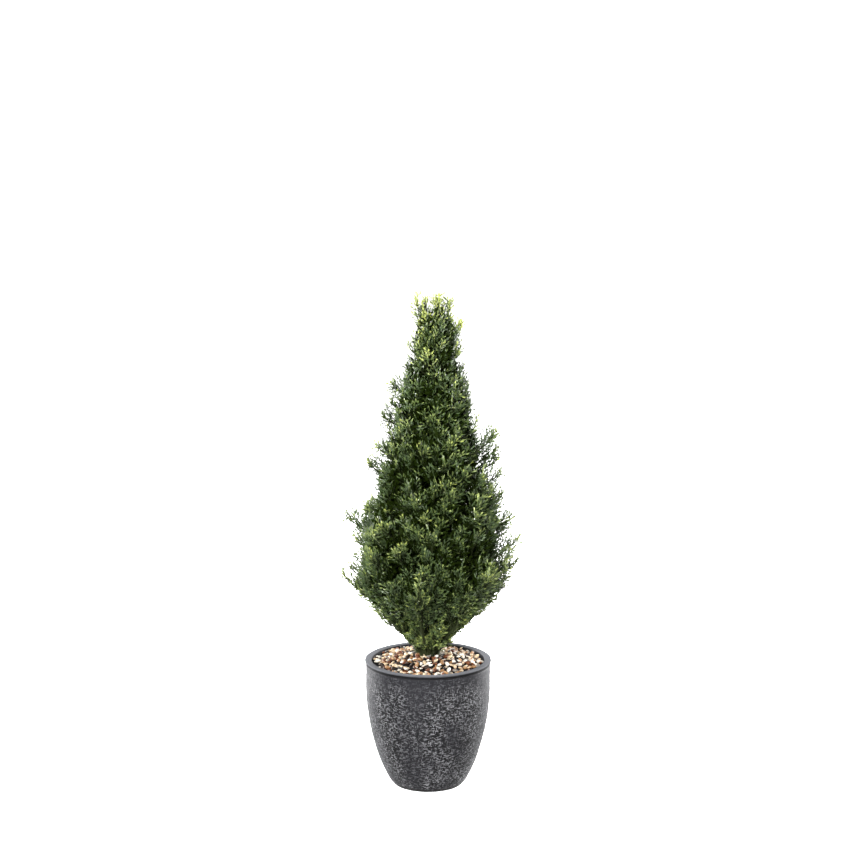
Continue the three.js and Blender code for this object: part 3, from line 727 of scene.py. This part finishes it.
def under_radius(height):
    """Radius where the crown's underside has a height: the line of the lowest limbs, turned round."""
    climbed = np.maximum(height - tier_root[0] + UNDERSIDE, 0) / tier_climb[0]
    bend = 1 - STRAIGHTNESS
    return tier_reach[0] * (np.sqrt(STRAIGHTNESS**2 + 4 * bend * climbed) - STRAIGHTNESS) / (2 * bend)


def fork_side(mark):
    """How far to one side of its limb's sector a stem's tip lies, from -1 to 1, by the golden angle."""
    limb = np.minimum(mark // FORKS, len(limb_tier) - 1)
    return 2 * ((mark % FORKS * GOLDEN_ANGLE / (2 * np.pi) + 0.5 * scatter(limb_mark[limb], 13)) % 1) - 1


def fork_drop(mark):
    """How far under its limb's tip a stem's tip lies, as a share of the way down to the next tier."""
    return (mark % FORKS + 0.5 + 0.4 * scatter(mark, 12)) / FORKS


def fork_outline(mark, azimuth):
    """Share of the crown's outline that a stem's sprays keep to. It is uneven from limb to limb and stem to
    stem, and less between limbs and tiers, to both sides, and to the front and back."""
    uneven = LIMB_SCATTER * scatter(mark // FORKS, 21) + OUTLINE_SCATTER * scatter(mark, 11)
    groove = SECTOR_GROOVE * fork_side(mark) ** 2 + TIER_GROOVE * fork_drop(mark)
    gaps = BESIDE * np.cos(azimuth) ** 4 + AHEAD * np.sin(azimuth) ** 4
    return np.minimum(LIMB_OUTLINE + uneven - groove - gaps, 1)


def limb_stems():
    """Stems that fork from each limb and level out on their way. Their tips lie on the crown's outline,
    spread over the limb's sector and from its own tip down to the next tier."""
    limb = np.repeat(np.arange(len(limb_tier)), FORKS)[:, None]
    mark = np.arange(len(limb))[:, None]
    azimuth = limb_azimuth[limb] + FORK_SIDE * limb_sector[limb] * fork_side(mark) * smooth(stem_share)
    outline = fork_outline(mark, azimuth[:, -1:])
    drop = fork_drop(mark)
    tip_height = limb_root[limb] + limb_climb[limb] - drop * (tier_tips[1] - tier_tips[0])
    tip_radius = np.minimum(outline * crown_radius(tip_height), under_radius(tip_height)) - TIP_SPRAY
    foot_share = FORK_TO + (FORK_FROM - FORK_TO) * drop
    foot_radius = np.minimum(foot_share * limb_reach[limb], 0.6 * tip_radius)
    foot_height = limb_root[limb] + limb_climb[limb] * rise(foot_radius / limb_reach[limb])
    radius = foot_radius + (tip_radius - foot_radius) * stem_share
    levelled = (1 + FORK_LEVEL) * stem_share - FORK_LEVEL * stem_share**2
    height = foot_height + (tip_height - foot_height) * levelled
    return around_axis(radius, azimuth, height)


def leader_stems():
    """Shoots that part from the top of the trunk, swing out to their own places and stand up side by side."""
    tips = LEADER_TIPS[:, None] - [0, 0, TIP_SPRAY]
    away = tips[..., :2] * stem_share[:, None] ** 1.4
    foot = TRUNK_TOP - LEADER_DROP
    return np.concatenate([away, foot + (tips[..., 2:] - foot) * stem_share[:, None]], -1)


def shoot_line(reach, height, lowest):
    """Radius and height along long shoots that come from inside the crown and rise straight to their tips, no
    lower than so far over its underside."""
    radius = reach * (SHOOT_FROM + (1 - SHOOT_FROM) * stem_share)
    rising = (1 - SHOOT_FROM) * reach * math.tan(SHOOT_RISE) * (stem_share - 1)
    return radius, np.maximum(height - SHOOT_DROP + rising, underside(radius) + lowest)


def long_stems():
    """Long shoots to both sides, a little to the front or back, whose ends may hang under the crown."""
    aside, height = LONG_SHOOTS[:, :1], LONG_SHOOTS[:, 1:]
    radius, height = shoot_line(np.abs(aside) - SHOOT_TIP, height, SHOOT_COVER - SHOOT_SAG * stem_share)
    depth = SHOOT_DEPTH * scatter(np.arange(len(aside))[:, None], 8) * (2 - stem_share)
    return np.stack([np.sign(aside) * radius, depth, height], -1)


def round_stems():
    """Long shoots to the front and the back by turns, from low to high, that end at the crown's outline."""
    number = np.arange(ROUND_SHOOTS)[:, None]
    azimuth = np.pi * (number % 2 - 0.5) + ROUND_SPREAD * scatter(number, 24)
    height = ROUND_HEIGHTS[0] + (ROUND_HEIGHTS[1] - ROUND_HEIGHTS[0]) * (number + 0.5) / ROUND_SHOOTS
    reach = crown_radius(height) * (ROUND_OUTLINE + ROUND_SCATTER * scatter(number, 25)) - SHOOT_TIP
    radius, height = shoot_line(reach, height, ROUND_COVER)
    return around_axis(radius, azimuth, height)


def foot_stems():
    """Fronds that stand round the foot of the trunk and lean out from it, the outer ones further."""
    number = np.arange(FOOT_FRONDS)[:, None]
    lean = 0.2 + 0.8 * (0.5 + 0.5 * scatter(number, 9))
    base = FROND_BASE + FROND_SPREAD * (1 + scatter(number, 10))
    radius = base + (FROND_REACH - base) * lean * stem_share**1.15
    height = (FROND_HEIGHT - 0.03 * lean) * stem_share - FROND_SUNK
    return around_axis(radius, number * GOLDEN_ANGLE, height)


def inner_stems():
    """Stems that wind up close to the trunk and fill the middle of the crown with shaded sprays."""
    azimuth = 2 * np.pi * np.arange(INNER_STEMS)[:, None] / INNER_STEMS + INNER_TURN * stem_share
    height = INNER_FOOT + (TRUNK_TOP - INNER_FOOT) * stem_share
    radius = np.resize(INNER_RADII, INNER_STEMS)[:, None] * crown_radius(height)
    return around_axis(radius, azimuth, height)


LIMB, LEADER, SHOOT, FOOT, INNER = range(5)  # kinds of stems
shoots = np.concatenate([long_stems(), round_stems()])
stems = [limb_stems(), leader_stems(), shoots, foot_stems(), inner_stems()]
stem_paths = np.concatenate(stems)
stem_kind = np.repeat(range(5), [len(paths) for paths in stems])
stem_mark = np.arange(len(stem_paths))
stem_length = np.linalg.norm(np.diff(stem_paths, axis=1), axis=-1).sum(1)
stem_tip = stem_paths[:, -1]
stem_tier = np.zeros(len(stem_paths))
stem_tier[stem_kind == LIMB] = np.repeat(limb_tier, FORKS)
starts = [np.maximum(0.3, 1 - SPRAY_ZONE / stem_length), LOW_START, SHOOT_START]
stem_start = np.select([stem_tier > 0, stem_kind == LIMB, stem_kind == SHOOT], starts, OTHER_START)
low_shoot = (stem_kind == SHOOT) & (stem_tip[:, 2] < LOW_SHOOT)
stem_lift = np.select([stem_tier > 0, (stem_kind == INNER) | low_shoot], [SPRAY_LIFT, 0], LOW_LIFT)
stem_spray = SPRAY_LENGTH + (TOP_SPRAY_LENGTH - SPRAY_LENGTH) * stem_tier / (len(TIER_LIMBS) - 1)
lengths = [stem_spray, SHOOT_SPRAY_LENGTH, SHOOT_SPRAY_LENGTH, FOOT_SPRAY_LENGTH, SPRAY_LENGTH]
stem_spray = np.choose(stem_kind, lengths)
stem_outline = fork_outline(stem_mark, np.arctan2(stem_tip[:, 1], stem_tip[:, 0]))
tip_share = (np.hypot(stem_tip[:, 0], stem_tip[:, 1]) + TIP_ROOM) / crown_radius(stem_tip[:, 2])
stem_outline = np.where(stem_kind == LIMB, stem_outline + 0.03, np.maximum(tip_share, 0.6))
stem_outline = np.where(stem_kind == INNER, INNER_OUTLINE, stem_outline)


def stem_point(stem, share):
    """A point of a stem at a share of its length, straight between two steps of its path."""
    step = np.clip(share, 0, 1) * STEM_STEPS
    low = np.minimum(step.astype(int), STEM_STEPS - 1)
    part = (step - low)[..., None]
    return stem_paths[stem, low] * (1 - part) + stem_paths[stem, low + 1] * part


# A stem ends where it would come out of its sprays' outline
covered = in_crown(stem_paths, stem_outline[:, None] - BARE_END, STEM_HANG)
stem_end = (covered * stem_share).max(1)
stem_paths = stem_point(stem_mark[:, None], stem_end[:, None] * stem_share)
stem_length = stem_length * stem_end


def sprays_along(step, length, first_mark):
    """Stem, share of the stem, length, mark and order of sprays that stand so far apart along all stems."""
    counts = np.round(stem_length * (1 - stem_start) / step).astype(int)
    stem = np.repeat(stem_mark, counts)
    order = np.arange(len(stem)) - np.repeat(np.cumsum(counts) - counts, counts)
    share = stem_start[stem] + (1 - stem_start[stem]) * (order + 1) / counts[stem]
    return stem, share, length[stem], first_mark + stem, order


stem, share, full, mark, order = (
    np.concatenate(parts)
    for parts in zip(
        sprays_along(SPRAY_STEP, stem_spray, 0),
        sprays_along(TUFT_STEP, 0 * stem_spray + TUFT_LENGTH, len(stem_paths)),
    )
)
root = stem_point(stem, share)
heading = unit(stem_point(stem, share + 0.02) - stem_point(stem, share - 0.04))
side, over = crossed_axes(heading)
circle = (order * GOLDEN_ANGLE / (2 * np.pi) + 0.5 * scatter(mark, 5)) % 1
downward = np.where(mark < len(stem_paths), SPRAY_DOWN, 0.5)
turn = np.pi * ((1 + 2 * downward) * circle - downward)
outward = side * np.cos(turn)[:, None] + over * np.sin(turn)[:, None]
spread = np.where(stem_kind[stem] == INNER, INNER_SPREAD, SPRAY_SPREAD * (1.1 - 0.65 * share**2))
spread = spread * (1 + SPREAD_SCATTER * scatter(mark, 100 + order))
along = heading * np.cos(spread)[:, None] + outward * np.sin(spread)[:, None]
roll = SPRAY_ROLL * scatter(mark, 300 + order)
along = unit(along + stem_lift[stem][:, None] * [0, 0, 1])
facing = 0.5 * np.cross(heading, outward) - 0.8 * heading
facing = unit(facing - along * (facing * along).sum(-1, keepdims=True))
across = np.cross(facing, along)
across, facing = (
    across * np.cos(roll)[:, None] + facing * np.sin(roll)[:, None],
    facing * np.cos(roll)[:, None] - across * np.sin(roll)[:, None],
)
full = full * (1 + LENGTH_SCATTER * scatter(mark, 200 + order)) * (1.1 - 0.4 * share**2)
outline = stem_outline[stem] - RAGGED * np.abs(scatter(mark, 400 + order)) ** 1.5
uneven = scatter(mark, 450 + order)
shoot_hang = np.where(stem_tip[:, 2] < LOW_TIP, LOW_HANG, SHOOT_HANG)[stem] * (0.7 + 0.3 * uneven)
frond_hang = FROND_HANG + FROND_UNEVEN * uneven + FROND_FOOT_HANG * (root[:, 2] < FROND_FOOT)
hang = np.choose(stem_kind[stem], [LIMB_HANG * uneven, 0, shoot_hang, frond_hang, 0])

length = np.zeros(len(root))
for fit in SPRAY_FITS:
    tip = root + (fit * full + TIP_GROWTH)[:, None] * (along + [0, 0, SPRAY_SWEEP])
    length = np.where((length == 0) & in_crown(tip, outline, hang), fit * full, length)
grown = length > LEAST_SPRAY
root, along, across, facing, length, mark, order, outline, hang, stem = (
    values[grown] for values in (root, along, across, facing, length, mark, order, outline, hang, stem)
)
sprays = len(root)

# Twigs of every spray, by spray and place on its rib
place_on_rib = FIRST_TWIG + TWIG_STEP * np.arange(TWIGS)
place_on_rib = place_on_rib + 0.001 * scatter(mark[:, None], 500 + order[:, None])
rib_share = place_on_rib / length[:, None]
hand = np.where(np.arange(TWIGS) % 2, 1.0, -1.0)
left_over = length[:, None] - place_on_rib
twig_length = np.minimum(TWIG_LENGTH, 0.008 + 0.45 * left_over) * np.clip(0.5 + 3 * rib_share, 0, 1)
number = order[:, None] * TWIGS + np.arange(TWIGS)
twig_length = twig_length * (1 + 0.15 * scatter(mark[:, None], 600 + number))
swept = along[:, None] * rib_share[..., None] + [0, 0, SPRAY_SWEEP] * rib_share[..., None] ** 2
twig_root = root[:, None] + length[:, None, None] * swept
rib_along = unit(along[:, None] + [0, 0, 2 * SPRAY_SWEEP] * rib_share[..., None])
tilt = TWIG_TILT * scatter(mark[:, None], 2000 + number)[..., None]
twig_side = unit(hand[:, None] * across[:, None] + tilt * facing[:, None])
twig_along = unit(rib_along * math.cos(TWIG_ANGLE) + twig_side * math.sin(TWIG_ANGLE))
twig_spray = np.broadcast_to(np.arange(sprays)[:, None], rib_share.shape)
twig_tip = twig_root + (twig_length[..., None] + TIP_GROWTH) * twig_along
has_twig = (rib_share < 0.95) & in_crown(twig_tip, outline[:, None] + 0.02, hang[:, None])

# The end of each rib is one more twig, straight on
end_share = np.clip(1 - END_TWIG / length, 0, 1)[:, None]
end_root = root + length[:, None] * (along * end_share + [0, 0, SPRAY_SWEEP] * end_share**2)
twig_root = np.concatenate([twig_root[has_twig], end_root])
twig_along = np.concatenate([twig_along[has_twig], unit(along + [0, 0, 2 * SPRAY_SWEEP])])
twig_length = np.concatenate([twig_length[has_twig], np.minimum(length, END_TWIG)])
twig_spray = np.concatenate([twig_spray[has_twig], np.arange(sprays)])
twig_out = np.concatenate([rib_share[has_twig], 0 * length + 1])
twig_facing = facing[twig_spray]
twig_facing = unit(twig_facing - twig_along * (twig_facing * twig_along).sum(-1, keepdims=True))
twig_across = np.cross(twig_facing, twig_along)
twigs = len(twig_root)

# Freshness and painted shade of every twig: painted darker as shade deep in the crown, freshest at the ends
# of the outer sprays, and lighter at the top
twig_tip = twig_root + twig_length[:, None] * twig_along
twig_radius, twig_height = np.hypot(twig_tip[:, 0], twig_tip[:, 1]), twig_tip[:, 2]
twig_kind = stem_kind[stem][twig_spray]
lit_outline = np.where(stem_kind == LIMB, 0.5 * stem_outline + 0.5, stem_outline)[stem][twig_spray]
depth = crown_radius(twig_height) * lit_outline - twig_radius
depth = np.minimum(depth, 1.2 * (TREE_HEIGHT - twig_height))
depth = np.minimum(depth, 0.008 + 0.7 * np.maximum(twig_height - underside(twig_radius), 0))
depth = np.select([twig_kind == FOOT, twig_kind == SHOOT], [FOOT_DEPTH, 0.7 * depth], depth)
# depth over which the painted shade darkens the leaves, less where the crown is slim
shade_depth = SHADE_DEPTH * (crown_radius(twig_height) / CROWN_RADIUS) ** 0.8
freshness_and_shade = 0.2 * scatter(mark, 700 + order)[twig_spray] + 0.5 * twig_out - 0.05 - depth / shade_depth
freshness_and_shade = freshness_and_shade + 0.3 * scatter(np.arange(twigs), 800)
freshness_and_shade = freshness_and_shade + TOP_LIGHT * np.clip(twig_height / TREE_HEIGHT / 0.2 - 4, 0, 1)
hidden = 0.95 - 0.3 * (twig_tip[:, 0] / twig_radius) ** 4
inside = twig_radius < hidden * crown_radius(twig_height)
shaded = (freshness_and_shade < SHADED_BELOW) & (depth > 0.02) & inside

# Leaves of every twig, by twig and place on it, and one more at its end
random = np.random.default_rng(31)
leaf_step = np.where(shaded, SHADED_STEP, LEAF_STEP)
place_on_twig = 0.002 + leaf_step[:, None] * np.arange(LEAVES + 1)
place_on_twig = place_on_twig + random.uniform(-0.0006, 0.0006, (twigs, 1))
last = np.minimum(np.ceil((twig_length - 0.003) / leaf_step).astype(int), LEAVES)
has_leaf = np.arange(LEAVES + 1) <= last[:, None]
at_end = np.arange(LEAVES + 1) == last[:, None]
hand = np.where(np.arange(LEAVES + 1) % 2, 1.0, -1.0)[None] * ~at_end
lift = random.normal(0, 0.12, has_leaf.shape)
angle = np.where(at_end, 0, LEAF_ANGLE * random.uniform(0.8, 1.2, has_leaf.shape))
place_on_twig = np.minimum(place_on_twig, twig_length[:, None])
leaf_root = twig_root[:, None] + place_on_twig[..., None] * twig_along[:, None]
leaf_side = hand[..., None] * twig_across[:, None] + lift[..., None] * twig_facing[:, None]
leaf_along = unit(np.cos(angle)[..., None] * twig_along[:, None] + np.sin(angle)[..., None] * leaf_side)
leaf_size = random.uniform(0.8, 1.12, has_leaf.shape)
leaf_roll = random.normal(0, 0.25, has_leaf.shape)
leaf_twig = np.broadcast_to(np.arange(twigs)[:, None], has_leaf.shape)[has_leaf]
leaf_root, leaf_along, leaf_size, leaf_roll = (
    values[has_leaf] for values in (leaf_root, leaf_along, leaf_size, leaf_roll)
)
leaf_facing = twig_facing[leaf_twig]
leaf_across = unit(np.cross(leaf_along, leaf_facing))
leaf_facing = np.cross(leaf_across, leaf_along)
leaf_across = leaf_across * np.cos(leaf_roll)[:, None] + leaf_facing * np.sin(leaf_roll)[:, None]
leaf_facing = np.cross(leaf_across, leaf_along)

# Colours, dealt out by freshness and painted shade; freshness rises along a twig to its end
along_twig = (np.arange(LEAVES + 1) / np.maximum(last, 1)[:, None])[has_leaf]
freshness_and_shade = freshness_and_shade[leaf_twig] + 0.4 * (along_twig - 0.6) + 0.2 * scatter(np.arange(len(leaf_twig)), 900)
leaf_kind = np.where(shaded[leaf_twig], 0, 1 + np.digitize(freshness_and_shade, COLOUR_STEPS))

# One leaf: a closed three-sided spindle, widest beyond its middle
long = (np.where(leaf_kind == 0, SHADED_LENGTH, LEAF_LENGTH) * leaf_size)[:, None]
wide = (np.where(leaf_kind == 0, SHADED_WIDTH, LEAF_WIDTH) * leaf_size)[:, None]
belly = leaf_root + 0.55 * long * leaf_along
below = belly - 0.3 * LEAF_THICKNESS * leaf_facing
corners = [below - 0.5 * wide * leaf_across, below + 0.5 * wide * leaf_across]
corners += [belly + 0.7 * LEAF_THICKNESS * leaf_facing, leaf_root + long * leaf_along]
leaf_points = np.stack([leaf_root, *corners], 1)
LEAF_FACES = np.array([[0, 2, 1], [0, 3, 2], [0, 1, 3], [4, 1, 2], [4, 2, 3], [4, 3, 1]])

FOLIAGE_NODES = [f"foliage_{name}" for name in limb_name] + ["foliage_leader"]
MOST_LEAVES = 32000  # in one piece
STREAK = 0.005  # width of the streaks in a leaf


def moulded_leaf(name, light, dark, specular):
    """Moulded polyethylene: two close greens in fine streaks, with the soft gloss of a matt mould."""
    plastic = finish(name)
    place = add(plastic, "ShaderNodeTexCoord", {}).outputs["Object"]
    streaks = add(plastic, "ShaderNodeTexNoise", {"Vector": place, "Scale": 1 / STREAK, "Detail": 2.0})
    gloss = add(plastic, "ShaderNodeMapRange", {0: streaks.outputs[0], 1: 0.3, 2: 0.7, 3: 0.36, 4: 0.5})
    look = {"Roughness": gloss.outputs[0], "Specular IOR Level": specular}
    two_toned(plastic, streaks.outputs[0], dark, light, look)
    return plastic


# The shaded kind is painted shade deep in the crown, and the darker greens are dealt out partly by painted
# shade
LEAF_KINDS = [
    ("shaded", "#1a2506", "#0f1703", 0.05),
    ("blue_green", "#495a38", "#2f3f1e", 0.55),
    ("deep_green", "#586837", "#3e4d20", 0.55),
    ("mid_green", "#7d8951", "#5f6d38", 0.55),
    ("yellow_green", "#a7b05e", "#848f45", 0.55),
]
for number, (colour, light, dark, specular) in enumerate(LEAF_KINDS):
    plastic = moulded_leaf(f"moulded {colour.replace('_', ' ')} polyethylene", light, dark, specular)
    chosen = leaf_points[leaf_kind == number]
    for part in range(math.ceil(len(chosen) / MOST_LEAVES)):
        some = leaned(chosen[part * MOST_LEAVES : (part + 1) * MOST_LEAVES])
        faces = copies(LEAF_FACES, some.shape[1], len(some))
        name = f"leaves_{colour}_{part + 1}"
        put(name, some.reshape(-1, 3), faces, plastic, FOLIAGE_NODES, smooth=False)

# Stems, ribs and twigs: olive brown, thinning to their ends
TWIG_DARK, TWIG_LIGHT = "#15190a", "#2b3318"
olive_twig = finish("moulded olive brown polyethylene")
place = add(olive_twig, "ShaderNodeTexCoord", {}).outputs["Object"]
mottle = add(olive_twig, "ShaderNodeTexNoise", {"Vector": place, "Scale": 1 / 0.008, "Detail": 2.0})
look = {"Roughness": 0.7, "Specular IOR Level": 0.15}
two_toned(olive_twig, mottle.outputs[0], TWIG_DARK, TWIG_LIGHT, look)

shares = np.linspace(0, 1, 4)
swept = along[:, None] * shares[:, None] + [0, 0, SPRAY_SWEEP] * shares[:, None] ** 2
rib_paths = root[:, None] + length[:, None, None] * swept
twig_paths = twig_root[:, None] + twig_along[:, None] * (twig_length[:, None, None] * np.array([[0], [1.0]]))
for name, paths, radii, around in [
    ("spray_ribs", rib_paths, RIB_RADIUS * (1 - 0.7 * shares), 3),
    ("spray_twigs", twig_paths[~shaded], [TWIG_RADIUS, 0.4 * TWIG_RADIUS], 3),
    ("limb_stems", stem_paths, STEM_RADIUS * (1 - 0.65 * stem_share), 5),
]:
    points, faces = tubes(paths, radii, around)
    put(name, leaned(points).reshape(-1, 3), faces, olive_twig, FOLIAGE_NODES)


# Floor, light and camera
# A white studio sweep under large soft lamps, seen from a little above as in the photograph.

FLOOR_HALF = 40.0
floor_mesh = bpy.data.meshes.new("studio_floor")
corners = [(-FLOOR_HALF, -FLOOR_HALF, 0), (FLOOR_HALF, -FLOOR_HALF, 0), (FLOOR_HALF, FLOOR_HALF, 0)]
floor_mesh.from_pydata([*corners, (-FLOOR_HALF, FLOOR_HALF, 0)], [], [(0, 1, 2, 3)])
floor = bpy.data.objects.new("studio_floor", floor_mesh)
bpy.context.scene.collection.objects.link(floor)
floor.visible_diffuse = False
floor.visible_glossy = False
white_sweep = finish("back-lit white studio sweep")
look = {"Base Color": linear("#f4f4f4"), "Roughness": 1.0}
coat(white_sweep, {**look, "Emission Color": (1, 1, 1, 1), "Emission Strength": 0.95})
floor_mesh.materials.append(white_sweep)

HORIZON = 0.12  # brightness of the studio's walls
OVERHEAD = 0.18  # extra brightness of its soft ceiling
UNDERFOOT = 0.62  # brightness that the floor gives back
BACKDROP = 0.8  # extra brightness of the sweep behind the object
world = bpy.data.worlds.new("studio")
world.use_nodes = True
direction = add(world, "ShaderNodeTexCoord", {}).outputs["Generated"]
axes = add(world, "ShaderNodeSeparateXYZ", {0: direction}).outputs
# Parts of the glow: an axis of the direction, a span on it, and the brightness at both ends
bright = 0.0
for axis, start, end, low, high in [
    ("Z", 0.0, 1.0, HORIZON, HORIZON + OVERHEAD),
    ("Z", -0.3, 0.0, UNDERFOOT - HORIZON, 0.0),
    ("Y", 0.15, 0.7, 0.0, BACKDROP),
]:
    glow = add(world, "ShaderNodeMapRange", {0: axes[axis], 1: start, 2: end, 3: low, 4: high})
    bright = add(world, "ShaderNodeMath", {0: bright, 1: glow.outputs[0]}, operation="ADD").outputs[0]
# Past the sweep's edge the camera sees the same white
seen = add(world, "ShaderNodeLightPath", {}).outputs["Is Camera Ray"]
bright = add(world, "ShaderNodeMath", {0: bright, 1: seen}, operation="MAXIMUM").outputs[0]
world.node_tree.links.new(bright, world.node_tree.nodes["Background"].inputs["Strength"])
world.node_tree.nodes["Background"].inputs["Color"].default_value = (1, 1, 1, 1)
bpy.context.scene.world = world

AIM = np.array([0.0, 0.0, 0.6])
for name, place, size, watts in [
    ("key", (-2.0, -4.1, 2.7), 1.2, 650),
    ("fill", (3.2, -3.0, 1.4), 2.0, 180),
    ("top", (0.3, 0.4, 4.2), 2.0, 80),
    ("left edge", (-2.8, 2.0, 1.0), 1.6, 540),
    ("right edge", (2.8, 2.2, 1.0), 1.6, 560),
]:
    lamp = bpy.data.lights.new(name, "AREA")
    lamp.energy = watts
    lamp.size = size
    holder = bpy.data.objects.new(name, lamp)
    holder.location = place
    away = np.array(place) - AIM
    heading = math.atan2(away[1], away[0]) + math.pi / 2
    holder.rotation_euler = (math.atan2(math.hypot(away[0], away[1]), away[2]), 0, heading)
    bpy.context.scene.collection.objects.link(holder)

IMAGE_PIXELS = 864
SENSOR = 36.0
FOCAL_PIXELS = 2755
CAMERA_DISTANCE = 6.5
CAMERA_HEIGHT = 2.228
CAMERA_PITCH = math.radians(11.7)  # below the level
CAMERA_ASIDE = 0.0098
lens = bpy.data.cameras.new("photo_camera")
lens.sensor_width = SENSOR
lens.lens = SENSOR * FOCAL_PIXELS / IMAGE_PIXELS
camera = bpy.data.objects.new("photo_camera", lens)
camera.location = (CAMERA_ASIDE, -CAMERA_DISTANCE, CAMERA_HEIGHT)
camera.rotation_euler = (math.pi / 2 - CAMERA_PITCH, 0, 0)
bpy.context.scene.collection.objects.link(camera)
bpy.context.scene.camera = camera
bpy.context.scene.view_settings.view_transform = "Standard"
